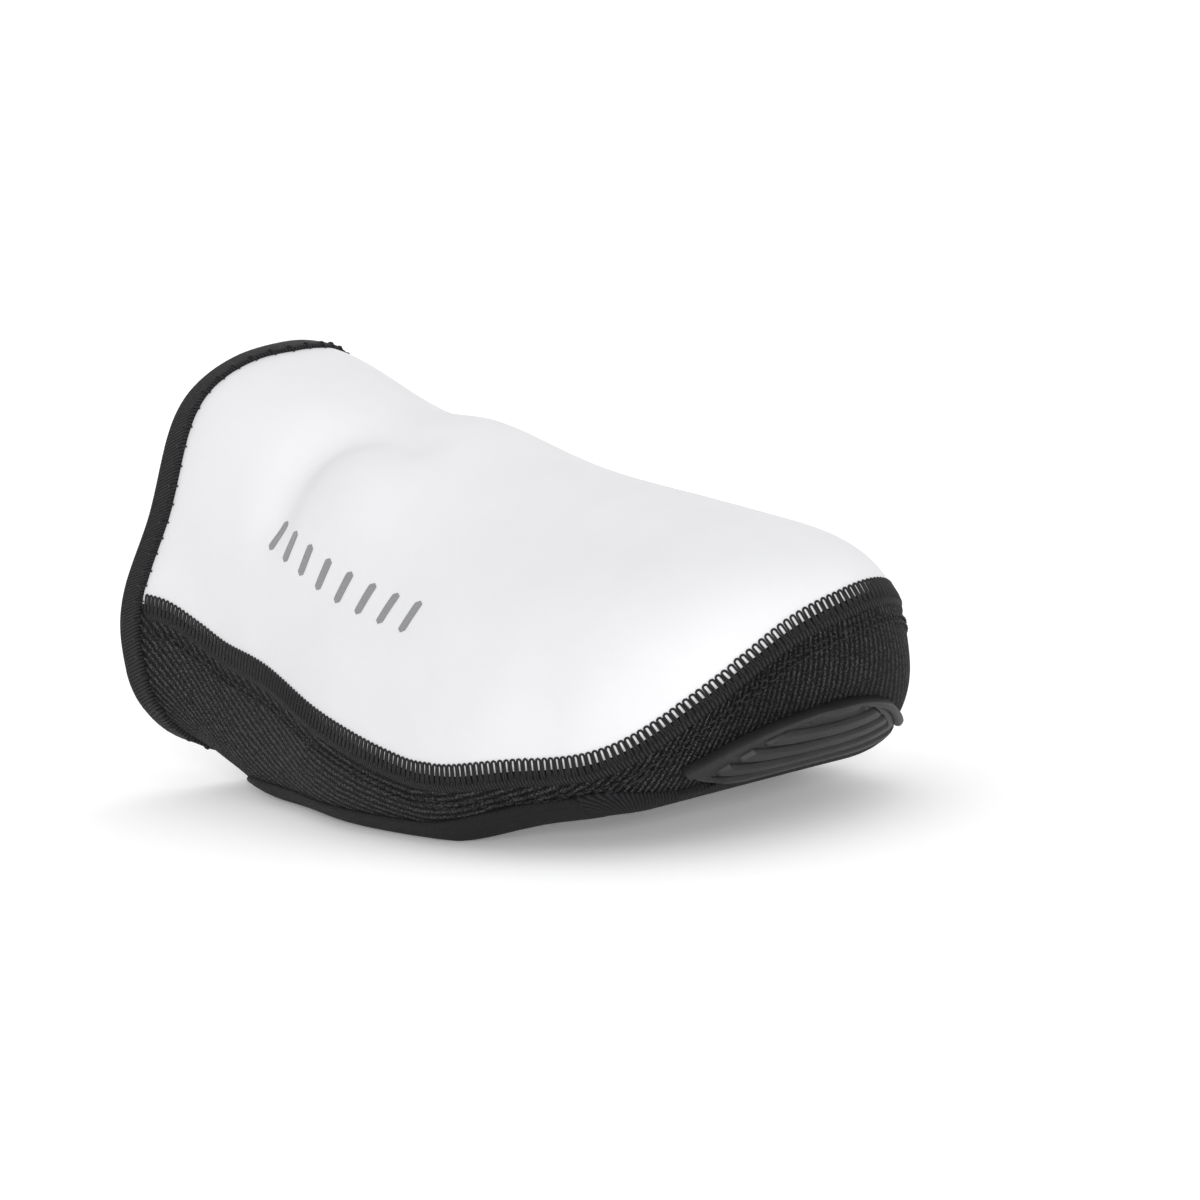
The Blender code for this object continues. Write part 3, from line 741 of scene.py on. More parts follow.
@dataclass(frozen=True)
class RibbedWeave:
    """Black woven band with fine ribs that follow the map's second distance; its colour carries
    painted highlights on the rib crests and painted glints on the threads.
    """

    pitch: float = 1.45 * MM
    thread: float = 0.75 * MM
    dark: tuple[float, float, float] = (0.0012, 0.0012, 0.0013)
    # The light tone is painted highlight: the rib crests and thread flecks that catch the light.
    light: tuple[float, float, float] = (0.095, 0.095, 0.097)

    def make(self) -> bpy.types.Material:
        """Make the material.

        Returns:
            The material, ready to dress a piece.
        """
        shader = Shader("black_ribbed_weave")
        along, across = shader.uv()
        wander = shader.math("MULTIPLY", shader.noise(120.0, 2.0), 0.0008)
        across = shader.math("ADD", across, wander)
        rib = shader.wave(across, self.pitch)
        turns = shader.math("DIVIDE", across, self.pitch)
        fold = shader.math("PINGPONG", shader.math("ADD", turns, 0.25), 0.5)
        shift = shader.math("MULTIPLY", fold, self.pitch * 1.6)
        thread = shader.wave(shader.math("ADD", along, shift), self.thread)
        # Painted highlights: the colour is lightest on rib crests and raised threads, with bright
        # specks as painted glints.
        speck = shader.noise(2300.0, 2.0)
        painted_thread_light = shader.math("MULTIPLY_ADD", thread, 0.75)
        painted_crest_light = shader.math("POWER", shader.math("MULTIPLY_ADD", rib, 0.9), 2.2)
        weave = shader.math("MULTIPLY", painted_crest_light, painted_thread_light)
        strong = shader.math("POWER", shader.math("MULTIPLY", speck, 1.8), 4.5)
        mixed = shader.math("MULTIPLY", shader.math("MULTIPLY", weave, strong), 0.38)
        shader.colour(mixed, self.dark, self.light)
        height = shader.math("ADD", rib, shader.math("MULTIPLY", thread, 0.6))
        shader.bump(height, 0.00045)
        shader.gloss(0.7, 0.0, 0.12)
        return shader.material


@dataclass(frozen=True)
class GrosgrainTape:
    """Black tape with fine cross ribs, or smooth knitted edge tape."""

    name: str
    pitch: float
    dark: tuple[float, float, float] = (0.003, 0.003, 0.0035)
    light: tuple[float, float, float] = (0.034, 0.034, 0.036)

    def make(self) -> bpy.types.Material:
        """Make the material.

        Returns:
            The material, ready to dress a piece.
        """
        shader = Shader(self.name)
        along, across = shader.uv()
        slanted = shader.math("ADD", along, shader.math("MULTIPLY", across, 0.35))
        rib = shader.wave(slanted, self.pitch)
        speck = shader.noise(2000.0, 2.0)
        mixed = shader.math("MULTIPLY", rib, shader.math("MULTIPLY", speck, 1.7))
        shader.colour(mixed, self.dark, self.light)
        shader.bump(mixed, 0.0002)
        shader.gloss(0.7, 0.0, 0.15)
        return shader.material


@dataclass(frozen=True)
class Thread:
    """Black spun sewing thread."""

    dark: tuple[float, float, float] = (0.004, 0.004, 0.004)
    light: tuple[float, float, float] = (0.03, 0.03, 0.031)

    def make(self) -> bpy.types.Material:
        """Make the material.

        Returns:
            The material, ready to dress a piece.
        """
        shader = Shader("black_sewing_thread")
        fine = shader.noise(3000.0, 2.0)
        shader.colour(fine, self.dark, self.light)
        shader.bump(fine, 0.0001)
        shader.gloss(0.6, 0.0, 0.2)
        return shader.material


@dataclass(frozen=True)
class MouldedRubber:
    """Dark grey moulded rubber, slightly scuffed."""

    dark: tuple[float, float, float] = (0.012, 0.012, 0.0125)
    light: tuple[float, float, float] = (0.034, 0.034, 0.035)

    def make(self) -> bpy.types.Material:
        """Make the material.

        Returns:
            The material, ready to dress a piece.
        """
        shader = Shader("dark_moulded_rubber")
        soft = shader.noise(160.0, 5.0)
        fine = shader.noise(2200.0, 2.0)
        shader.colour(soft, self.dark, self.light)
        shader.bump(fine, 0.00008, 0.6)
        shader.gloss(0.5, 0.0, 0.3)
        return shader.material


@dataclass(frozen=True)
class ReflectivePrint:
    """Grey print with fine glass beads."""

    dark: tuple[float, float, float] = (0.17, 0.17, 0.175)
    light: tuple[float, float, float] = (0.30, 0.30, 0.305)

    def make(self) -> bpy.types.Material:
        """Make the material.

        Returns:
            The material, ready to dress a piece.
        """
        shader = Shader("grey_reflective_print")
        fine = shader.noise(3500.0, 1.0)
        shader.colour(fine, self.dark, self.light)
        shader.bump(fine, 0.00005, 0.5)
        shader.gloss(0.4)
        return shader.material


class Mesher:
    """Short ways to make a piece from a grid primitive."""

    @staticmethod
    def grid(name: str, points: Array, uv: Array | None = None) -> bpy.types.Object:
        """Add a grid primitive and lay its points on a surface.

        Args:
            name: The piece's name.
            points: Rows of points, each row running around the piece.
            uv: Two distances for each point, in metres.

        Returns:
            The new object, its faces on the side of row direction times column direction.
        """
        rows, columns = points.shape[:2]
        bpy.ops.object.select_all(action="DESELECT")
        bpy.ops.mesh.primitive_grid_add(x_subdivisions=columns - 1, y_subdivisions=rows - 1,
                                        size=1)
        piece = bpy.context.object
        piece.name = name
        piece.data.name = name
        mesh = piece.data
        mesh.vertices.foreach_set("co", points.reshape(-1).astype(float))
        if uv is not None:
            flat = uv.reshape(-1, 2)
            layer = mesh.uv_layers[0]
            layer.name = "UVMap"
            corner = np.empty(len(mesh.loops), int)
            mesh.loops.foreach_get("vertex_index", corner)
            layer.data.foreach_set("uv", flat[corner].reshape(-1))
        mesh.update()
        return piece

    @staticmethod
    def close(piece: bpy.types.Object, angle: float = 60.0) -> None:
        """Merge a piece's doubled points and shade it smoothly.

        Args:
            piece: The piece.
            angle: Edges that turn by more than this many degrees stay sharp.
        """
        bpy.ops.object.select_all(action="DESELECT")
        piece.select_set(True)
        bpy.context.view_layer.objects.active = piece
        bpy.ops.object.mode_set(mode="EDIT")
        bpy.ops.mesh.select_all(action="SELECT")
        bpy.ops.mesh.remove_doubles(threshold=MERGE_DISTANCE)
        bpy.ops.mesh.dissolve_degenerate(threshold=COLLAPSED_EDGE)
        bpy.ops.object.mode_set(mode="OBJECT")
        bpy.ops.object.shade_smooth_by_angle(angle=math.radians(angle))

    @staticmethod
    def thicken(piece: bpy.types.Object, wall: float, inner: int = 0) -> None:
        """Give a sheet its wall, on the inside.

        Args:
            piece: The sheet.
            wall: The wall's thickness.
            inner: How many places down its list the inside's material lies.
        """
        bpy.context.view_layer.objects.active = piece
        solid = piece.modifiers.new("wall", "SOLIDIFY")
        solid.thickness = wall
        solid.offset = -1.0
        solid.use_even_offset = False
        solid.material_offset = inner
        bpy.ops.object.modifier_apply(modifier=solid.name)

    @staticmethod
    def tubes(name: str, paths: Array, radius: float, sides: int = 6) -> bpy.types.Object:
        """Make many short round threads as one piece.

        Args:
            name: The piece's name.
            paths: Points of each thread, one row a thread.
            radius: Half of the thread's thickness.
            sides: Corners of its round section.

        Returns:
            The joined threads, closed at their ends.
        """
        count, steps = paths.shape[:2]
        along = unit(np.gradient(paths, axis=1))
        lift = unit(paths.mean(1) - paths.mean(1).mean(0))[:, None, :]
        first = unit(np.cross(along, np.broadcast_to(lift, along.shape)))
        second = np.cross(first, along)
        turn = np.linspace(0, 2 * math.pi, sides, endpoint=False)
        shell = (paths[:, :, None, :] + radius * (np.cos(turn)[:, None] * first[:, :, None, :]
                 + np.sin(turn)[:, None] * second[:, :, None, :]))
        faces = []
        for i in range(count):
            base = i * steps * sides
            for j in range(steps - 1):
                for k in range(sides):
                    after = (k + 1) % sides
                    low = base + j * sides
                    faces.append((low + k, low + after, low + sides + after, low + sides + k))
            faces.append(tuple(base + k for k in reversed(range(sides))))
            faces.append(tuple(base + (steps - 1) * sides + k for k in range(sides)))
        mesh = bpy.data.meshes.new(name)
        mesh.from_pydata(shell.reshape(-1, 3).tolist(), [], faces)
        piece = bpy.data.objects.new(name, mesh)
        bpy.context.scene.collection.objects.link(piece)
        bpy.ops.object.select_all(action="DESELECT")
        piece.select_set(True)
        bpy.context.view_layer.objects.active = piece
        bpy.ops.object.mode_set(mode="EDIT")
        bpy.ops.mesh.select_all(action="SELECT")
        bpy.ops.mesh.normals_make_consistent(inside=False)
        bpy.ops.object.mode_set(mode="OBJECT")
        bpy.ops.object.shade_smooth()
        return piece


def hand_over(piece: bpy.types.Object, slot: str, materials: Sequence[bpy.types.Material],
              *nodes: str) -> None:
    """Dress a piece, tie it to the cover's one body and hide the parts that it replaces.

    Args:
        piece: The finished piece.
        slot: Not used.
        materials: Its materials, the outer one first.
        nodes: The nodes that it replaces.
    """
    for i, finish in enumerate(materials):
        if i < len(piece.data.materials):
            piece.data.materials[i] = finish
        else:
            piece.data.materials.append(finish)
    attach(piece, "root")
    if nodes:
        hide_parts(*nodes)
    LOG.info("%s: %d faces", piece.name, len(piece.data.polygons))


@dataclass
class Shell:
    """The white neoprene upper."""

    last: Last
    opening: CleatOpening
    wall: float = 3.0 * MM
    joint: float = 0.2 * MM
    rows: int = 56

    def build(self) -> None:
        """Make the hollow shell with its black lining."""
        around = self.opening.columns(14, 8, 48, 34)
        low = self.last.up_from(around, [self.joint])[0]
        share = np.linspace(0, 1, self.rows + 1)[:, None]
        up = low[None, :] + (1 - low[None, :]) * share
        points = self.last.points(np.broadcast_to(around, up.shape), up)
        piece = Mesher.grid("neoprene_shell", points)
        piece.data.materials.append(NeopreneSkin().make())
        piece.data.materials.append(JerseyLining().make())
        Mesher.close(piece)
        Mesher.thicken(piece, self.wall, inner=1)
        hand_over(piece, "neoprene", list(piece.data.materials), "neoprene_upper")


class RibTurn(NamedTuple):
    """Downward slope of the weave's ribs and their closeness, at a share of the way."""

    way: float
    slope: float
    close: float


RIB_TURNS = (
    RibTurn(0.00, 24.0, 0.60),
    RibTurn(0.25, 16.0, 0.66),
    RibTurn(0.48, 0.0, 0.95),
    RibTurn(0.68, -14.0, 1.00),
    RibTurn(0.85, -45.0, 1.12),
    RibTurn(0.95, -80.0, 1.18),
    RibTurn(1.00, -90.0, 1.18),
)


@dataclass
class WovenBand:
    """The ribbed band and underside."""

    last: Last
    opening: CleatOpening
    wall: float = 1.6 * MM
    joint: float = 0.2 * MM
    rows: int = 44

    def rib_map(self, points: Array) -> Array:
        """Lay the weave's map over the band.

        Args:
            points: Rows of points from the opening's edge up to the seam.

        Returns:
            Distances along and across the ribs for each point.
        """
        seam = points[-1]
        steps = np.linalg.norm(np.diff(seam, axis=0), axis=-1)
        along = np.concatenate([[0], np.cumsum(steps)])
        tip = along[len(along) // 2]
        folded = np.minimum(along, 2 * tip - along)
        slope = np.radians(blend(column(RIB_TURNS, "way"), column(RIB_TURNS, "slope"),
                                 folded / tip))
        close = blend(column(RIB_TURNS, "way"), column(RIB_TURNS, "close"), folded / tip)
        turned = np.sin((slope[1:] + slope[:-1]) / 2) * np.maximum(1, close[1:])
        sink = np.concatenate([[0], np.cumsum(steps * turned * np.sign(np.diff(folded)))])
        rise = np.linalg.norm(np.diff(points, axis=0), axis=-1)
        down = np.concatenate([np.cumsum(rise[::-1], axis=0)[::-1], np.zeros((1, len(along)))])
        across = down * np.cos(slope) * close - sink
        length = np.broadcast_to(along, down.shape) * np.cos(slope) + down * np.sin(slope)
        return np.stack([length, across], -1)

    def build(self) -> None:
        """Make the band with its opening, strap and wall."""
        around = self.opening.columns(14, 14, 52, 40)
        low = self.opening.up(around)
        high = self.last.up_from(around, [-self.joint])[0]
        share = np.linspace(0, 1, self.rows + 1)[:, None]
        up = low + (high - low) * share
        points = self.last.points(np.broadcast_to(around, up.shape), up)
        piece = Mesher.grid("woven_band", points, self.rib_map(points))
        piece.data.materials.append(RibbedWeave().make())
        piece.data.materials.append(JerseyLining().make())
        Mesher.close(piece)
        Mesher.thicken(piece, self.wall, inner=1)
        hand_over(piece, "woven", list(piece.data.materials), "woven_base")


@dataclass
class FlatlockSeam:
    """The stitched seam: a knitted strip, a ladder of thread loops and a second row."""

    last: Last
    opening: CleatOpening
    start: float = 9.0 * MM
    strip_step: float = 1.5 * MM
    strip_wall: float = 0.25 * MM
    pitch: float = 1.65 * MM
    loop_half: float = 0.55 * MM
    thread: float = 0.27 * MM
    top: float = 2.7 * MM
    strip_low: float = 3.4 * MM
    strip_rise: float = 0.4 * MM
    second_row: float = 5.6 * MM
    row_gap: float = 1.4 * MM
    row_spacing: float = 2.3 * MM
    row_thread: float = 0.24 * MM

    def seam_places(self, spacing: float) -> Array:
        """Choose places on the seam between the two ends of the rear tape.

        Args:
            spacing: Distance from one place to the next.

        Returns:
            Places around the edge.
        """
        around = np.linspace(-1, 1, 1601)
        seam = self.last.points(around, self.last.seam(around))
        way = np.concatenate([[0], np.cumsum(np.linalg.norm(np.diff(seam, axis=0), axis=-1))])
        count = int((way[-1] - 2 * self.start) / spacing)
        return np.interp(self.start + spacing * (0.5 + np.arange(count)), way, around)

    def width_of(self, around: Array) -> Array:
        """Length of one whole step of `around` at each place of the seam."""
        by_around, _ = self.last.slopes(around, self.last.seam(around))
        return np.linalg.norm(by_around, axis=-1)

    def lean_of(self, around: Array) -> tuple[Array, Array]:
        """Measure how the surface's columns lean on the seam.

        Args:
            around: Places of the seam.

        Returns:
            Length of one whole step of `around` along the seam, and the lean's tangent.
        """
        small = 1e-3
        ahead = self.last.points(around + small, self.last.seam(around + small))
        behind = self.last.points(around - small, self.last.seam(around - small))
        step = (ahead - behind) / (2 * small)
        low, high = self.last.up_from(around, [-1.5 * MM, 1.5 * MM])
        upwards = unit(self.last.points(around, high) - self.last.points(around, low))
        wide = np.linalg.norm(step, axis=-1)
        sine = (upwards * step).sum(-1) / wide
        return wide, sine / np.sqrt(1 - sine**2)

    def build_strip(self) -> None:
        """Make the knitted strip under the loops."""
        around = self.seam_places(self.strip_step)
        profile = ((-1.0, 0.05), (-0.9, 0.7), (-0.6, 1.0), (-0.3, 0.6), (-0.08, 0.35),
                   (0.0, 0.0))
        rows = self.last.up_from(around, [self.strip_low * across for across, _ in profile])
        points = np.stack([self.last.raised(around, row, 0.03 * MM + self.strip_rise * rise)
                           for row, (_, rise) in zip(rows, profile)])
        way = np.arange(len(around)) * self.strip_step
        uv = np.stack([np.broadcast_to(way, points.shape[:2]),
                       np.broadcast_to(np.array([[a] for a, _ in profile]) * self.strip_low,
                                       points.shape[:2])], -1)
        piece = Mesher.grid("seam_strip", points, uv)
        finish = GrosgrainTape("black_knitted_strip", 0.9 * MM).make()
        Mesher.close(piece, 80)
        Mesher.thicken(piece, self.strip_wall)
        hand_over(piece, "thread", [finish], "flatlock_seam")

    def build_loops(self, finish: bpy.types.Material) -> None:
        """Make the ladder of thread loops over the white edge, square to the seam.

        Args:
            finish: The thread's material.
        """
        around = self.seam_places(self.pitch)
        wide, lean = self.lean_of(around)
        arc = np.linspace(math.pi, 0, 5)
        half = self.loop_half
        crown = self.top - half
        path = [(-half, -1.6 * MM, 0.45 * MM), (-half, -0.1 * MM, 0.4 * MM)]
        path += [(half * math.cos(a), crown + half * math.sin(a), 0.15 * MM) for a in arc]
        path += [(half, -0.1 * MM, 0.4 * MM), (half, -1.6 * MM, 0.45 * MM)]
        rows = []
        for side, rise, lift in path:
            place = around + (side - rise * lean) / wide
            rows.append(self.last.raised(place, self.last.up_from(place, [rise])[0], lift))
        points = np.stack(rows, 1)
        piece = Mesher.tubes("seam_loops", points, self.thread)
        hand_over(piece, "thread", [finish])

    def build_rows(self, finish: bpy.types.Material) -> None:
        """Make two rows of short stitches below the strip.

        Args:
            finish: The thread's material.
        """
        around = self.seam_places(self.row_spacing)
        wide = self.width_of(around)
        rows = []
        below = [-self.second_row, -self.second_row - self.row_gap]
        for up in self.last.up_from(around, below):
            path = ((-0.8 * MM, -0.05 * MM), (-0.5 * MM, 0.2 * MM), (0.0, 0.28 * MM),
                    (0.5 * MM, 0.2 * MM), (0.8 * MM, -0.05 * MM))
            rows.append(np.stack([self.last.raised(around + side / wide, up, lift)
                                  for side, lift in path], 1))
        piece = Mesher.tubes("seam_topstitch", np.concatenate(rows), self.row_thread)
        hand_over(piece, "thread", [finish])

    def build(self, finish: bpy.types.Material) -> None:
        """Make all of the seam.

        Args:
            finish: The thread's material.
        """
        self.build_strip()
        self.build_loops(finish)
        self.build_rows(finish)


@dataclass
class FoldedTape:
    """A tape folded over an edge: outer leg, fold and inner leg."""

    last: Last
    width: float = 7.5 * MM
    inner_width: float = 5.0 * MM
    thick: float = 0.8 * MM
    gap: float = 0.15 * MM
    inner_gap: float = 0.45 * MM
    edge_corner: int = 7

    def sections(self, around: Array, up: Array, away: Array,
                 wall: Array | float) -> tuple[Array, Array]:
        """Lay the tape's outline at each station of the edge.

        Args:
            around: Places of the edge.
            up: Heights of the edge.
            away: Directions over the surface, away from the edge.
            wall: Thickness of what the tape wraps.

        Returns:
            Points by corner and station, and each corner's distance across the tape.
        """
        edge = self.last.points(around, up)
        out = self.last.normals(around, up)
        wall = np.broadcast_to(np.asarray(wall, float), around.shape)
        over = self.gap + self.thick
        inside = -wall - self.inner_gap
        fold = over * 1.1
        corners = [(self.width, 0.03 * MM), (self.width, over * 0.45)]
        corners += [(self.width * 0.97, over * 0.85)]
        corners += [(self.width * s, over) for s in (0.9, 0.7, 0.45, 0.2)]
        corners += [(0.0, over)]
        turned = np.linspace(0, math.pi, 9)[1:-1]
        rows = []
        span = []
        for distance, height in corners:
            place, level = self.last.walk(around, up, away, distance)
            rows.append(self.last.raised(place, level, height))
            span.append(distance)
        middle = (over + inside - self.thick) / 2
        half = (over - inside + self.thick) / 2
        for angle in turned:
            lift = middle + half * math.cos(angle)
            rows.append(edge - away * fold * math.sin(angle) + out * lift[:, None])
            span.append(-fold * angle)
        for share in (0.0, 0.5, 1.0):
            place, level = self.last.walk(around, up, away, self.inner_width * share)
            rows.append(self.last.raised(place, level, inside - self.thick))
            span.append(-self.width - self.inner_width * share)
        for share in (1.0, 0.5, 0.0):
            place, level = self.last.walk(around, up, away, self.inner_width * share)
            rows.append(self.last.raised(place, level, inside))
            span.append(-2 * self.width)
        rows.append(edge + out * (inside * 0.5)[:, None])
        span.append(-2 * self.width)
        rows.append(self.last.raised(around, up, 0.02 * MM))
        span.append(-2 * self.width)
        return np.stack(rows), np.array(span)

    def ring(self, name: str, rows: Array, span: Array) -> bpy.types.Object:
        """Close the outlines into a ring with a map along and across the tape.

        Args:
            name: The piece's name.
            rows: Points by corner and station.
            span: Each corner's distance across the tape.

        Returns:
            The closed tape, its faces outwards.
        """
        edge = rows[self.edge_corner]
        steps = np.linalg.norm(np.diff(edge, axis=0, append=edge[:1]), axis=-1)
        way = np.concatenate([[0], np.cumsum(steps)])
        points = np.concatenate([rows, rows[:1]], 0)
        points = np.concatenate([points, points[:, :1]], 1)
        across = np.concatenate([span, span[:1]])
        uv = np.stack(np.broadcast_arrays(way[None, :], across[:, None]), -1)
        piece = Mesher.grid(name, points, uv)
        Mesher.close(piece, 70)
        bpy.ops.object.mode_set(mode="EDIT")
        bpy.ops.mesh.select_all(action="SELECT")
        bpy.ops.mesh.normals_make_consistent(inside=False)
        bpy.ops.object.mode_set(mode="OBJECT")
        return piece


@dataclass
class RearBinding:
    """The grosgrain tape round the rear opening, with its stitches."""

    last: Last
    woven_wall: float = 1.6 * MM
    neoprene_wall: float = 3.0 * MM
    stitch_spacing: float = 4.2 * MM
    stitched_length: float = 280 * MM
    stitch_radius: float = 0.24 * MM
    stations: int = 190

    def loop(self, count: int) -> tuple[Array, Array, Array]:
        """Choose stations round the rear edge at even distances.

        Args:
            count: How many stations.

        Returns:
            Their sides, heights and directions away from the edge.
        """
        fine = np.linspace(1, 0, 601)
        side = np.concatenate([np.full(601, Side.LATERAL.value), np.full(599, Side.MEDIAL.value)])
        up = np.concatenate([fine, fine[::-1][1:-1]])
        edge = self.last.points(side, up)
        way = np.concatenate([[0], np.cumsum(np.linalg.norm(np.diff(edge, axis=0), axis=-1))])
        wanted = np.linspace(0, way[-1], count, endpoint=False)
        nearest = np.clip(np.searchsorted(way, wanted), 0, len(up) - 1)
        side = side[nearest]
        up = up[nearest]
        by_around, _ = self.last.slopes(side, up)
        return side, up, unit(-side[:, None] * by_around)

    def build(self, thread: bpy.types.Material) -> None:
        """Make the tape and its row of small stitches.

        Args:
            thread: The stitches' material.
        """
        side, up, away = self.loop(self.stations)
        seam = np.where(side < 0, self.last.seam(-1.0)[0], self.last.seam(1.0)[0])
        thick = np.clip((up - seam + 0.07) / 0.04, 0, 1)
        wall = self.woven_wall + (self.neoprene_wall - self.woven_wall) * thick
        tape = FoldedTape(self.last)
        rows, span = tape.sections(side, up, away, wall)
        piece = tape.ring("rear_tape", rows, span)
        finish = GrosgrainTape("black_grosgrain_tape", 0.85 * MM).make()
        hand_over(piece, "tape", [finish], "rear_binding")
        side, up, away = self.loop(int(self.stitched_length / self.stitch_spacing))
        nubs = ((5.4, 0.9), (6.0, 1.15), (6.8, 1.15), (7.6, 0.6), (8.1, 0.1))
        path = []
        for distance, height in nubs:
            place, level = self.last.walk(side, up, away, distance * MM)
            path.append(self.last.raised(place, level, height * MM))
        piece = Mesher.tubes("rear_tape_stitches", np.stack(path, 1), self.stitch_radius)
        hand_over(piece, "thread", [thread])


@dataclass
class OpeningBinding:
    """The tape round the cleat opening, pressed flat where it stands."""

    last: Last
    opening: CleatOpening
    wall: float = 1.6 * MM
    width: float = 9.0 * MM
    floor: float = 0.0

    def build(self) -> None:
        """Make the tape."""
        columns = self.opening.columns(2, 26, 60, 46)
        up = self.opening.up(columns)
        # Between strap and side the edge turns sharply, so it gets extra places there.
        kept = up > 0
        strap = columns[2]
        first = up[kept][0]
        start = columns[kept][0]
        lead = np.array([0.25, 0.5, 0.75])
        lead_around = strap + (start - strap) * lead**3
        around = np.concatenate([[strap], lead_around, columns[kept], -lead_around[::-1]])
        up = np.concatenate([[0.0], first * lead, up[kept], first * lead[::-1]])
        edge = self.last.points(around, up)
        along = unit(np.roll(edge, -1, 0) - np.roll(edge, 1, 0))
        away = unit(np.cross(self.last.normals(around, up), along))
        tape = FoldedTape(self.last, width=self.width)
        rows, span = tape.sections(around, up, away, self.wall)
        rows[..., 2] = np.maximum(rows[..., 2], self.floor)
        piece = tape.ring("cleat_opening_tape", rows, span)
        finish = GrosgrainTape("black_edge_tape", 0.6 * MM, light=(0.022, 0.022, 0.024)).make()
        hand_over(piece, "tape", [finish], "cleat_opening_binding")


@dataclass
class ToeGrip:
    """The rubber pad under the toe, with a rim and ribs straight across."""

    last: Last
    inset: float = 4.5 * MM
    depth: float = 15.0 * MM
    spread: float = 0.18
    base: float = 0.6 * MM
    rib: float = 1.1 * MM
    rim: float = 1.2 * MM
    first_rib: float = 186.3 * MM
    rib_pitch: float = 2.85 * MM
    wall: float = 0.6 * MM
    gap: float = 0.1 * MM
    border_height: float = 0.05 * MM

    def places(self, x: Array, y: Array) -> tuple[Array, Array]:
        """Find the places on the toe's underside below plan positions.

        Args:
            x: Distances ahead.
            y: Distances sideways.

        Returns:
            Places around and up.
        """
        last = self.last
        centre = np.array([last.shank, float(last.section("drift", last.shank, last.drift))])
        around = np.linspace(-last.fan, last.fan, 241)
        outline = np.stack(last.toe_outline(around), -1) - centre
        bearing = np.arctan2(outline[:, 1], outline[:, 0])
        found = np.interp(np.arctan2(y - centre[1], x - centre[0]), bearing, around)
        reach = np.linalg.norm(np.stack(last.toe_outline(found), -1) - centre, axis=-1)
        share = np.hypot(x - centre[0], y - centre[1]) / reach
        return found, last.up_at_share(share, 1 - last.corner / reach)

    def relief(self, share: Array, t: Array, x: Array) -> Array:
        """Height of rim and ribs over the pad's bed.

        Args:
            share: Way from the pad's rear to its front.
            t: Way from its lateral to its medial end.
            x: Distance ahead, which the straight ribs follow.

        Returns:
            Heights in metres.
        """
        phase = ((x - self.first_rib) / self.rib_pitch) % 1.0
        rising = np.clip(phase / 0.10, 0, 1) * np.clip((0.70 - phase) / 0.10, 0, 1)
        slope = 0.75 + 0.25 * phase / 0.7
        inside = np.clip((0.87 - np.abs(t)) / 0.02, 0, 1) * np.clip((share - 0.03) / 0.02, 0, 1)
        inside = inside * np.clip((0.82 - share) / 0.02, 0, 1)
        rim = np.maximum(np.clip((np.abs(t) - 0.95) / 0.015, 0, 1),
                         np.clip((share - 0.93) / 0.02, 0, 1))
        return np.maximum(self.rib * rising * slope * inside, self.rim * rim)

    def build(self) -> None:
        """Make the pad."""
        last = self.last
        centre = np.array([last.shank, float(last.section("drift", last.shank, last.drift))])
        share = np.linspace(0, 1, 151)[:, None]
        t = np.linspace(1, -1, 201)[None, :]
        spread = self.spread * (1 - share) + 0.02 * share
        ends = []
        for side in (-1.0, 1.0):
            point = np.stack(last.toe_outline(side * spread), -1)
            reach = np.linalg.norm(point - centre, axis=-1, keepdims=True)
            ends.append(centre + (point - centre) * (1 - self.inset / reach))
        tip = last.length - self.inset
        middle = np.stack([tip - self.depth * (1 - share), np.full_like(share, last.drift)], -1)
        bow = (ends[0] + ends[1]) / 2 - middle
        plan = middle + (ends[1] - ends[0]) / 2 * t[..., None] + bow * (t**2)[..., None]
        around, up = self.places(plan[..., 0], plan[..., 1])
        height = self.gap + self.base + self.relief(share, t, plan[..., 0])
        border = (np.abs(t) > 0.995) | (share > 0.995) | (share < 0.005)
        height = np.where(border, self.border_height, height)
        points = last.raised(around, up, height)
        piece = Mesher.grid("toe_grip_pad", points)
        Mesher.close(piece, 40)
        Mesher.thicken(piece, self.wall)
        hand_over(piece, "grip", [MouldedRubber().make()], "toe_grip")


@dataclass
class SideMark:
    """A plain row of slanted reflective dashes on the lateral side."""

    last: Last
    count: int = 8
    first: tuple[float, float] = (-0.765, 0.668)
    final: tuple[float, float] = (-0.515, 0.650)
    height: float = 8.0 * MM
    width: float = 2.6 * MM
    slant: float = 2.4 * MM
    gap: float = 0.1 * MM
    thick: float = 0.08 * MM

    def build(self) -> None:
        """Make the dashes as one thin print."""
        finish = ReflectivePrint().make()
        parts = []
        for i in range(self.count):
            share = i / (self.count - 1)
            around = self.first[0] + (self.final[0] - self.first[0]) * share
            up = self.first[1] + (self.final[1] - self.first[1]) * share
            by_around, by_up = self.last.slopes(np.array(around), np.array(up))
            wide = float(np.linalg.norm(by_around))
            high = float(np.linalg.norm(by_up))
            tall = np.linspace(-0.5, 0.5, 13)[:, None]
            broad = np.linspace(-0.5, 0.5, 6)[None, :]
            pinch = np.sqrt(np.clip(1 - (2 * np.abs(tall)) ** 12, 0, 1))
            place = around + (broad * self.width * pinch + tall * self.slant) / wide
            level = up + tall * self.height / high + 0 * broad
            points = self.last.raised(place, level, self.gap)
            piece = Mesher.grid(f"side_dash_{i + 1}", points)
            Mesher.close(piece)
            Mesher.thicken(piece, self.thick)
            parts.append(piece)
        bpy.ops.object.select_all(action="DESELECT")
        for piece in parts:
            piece.select_set(True)
        bpy.context.view_layer.objects.active = parts[0]
        bpy.ops.object.join()
        joined = bpy.context.object
        joined.name = "side_dashes"
        hand_over(joined, "neoprene", [finish])


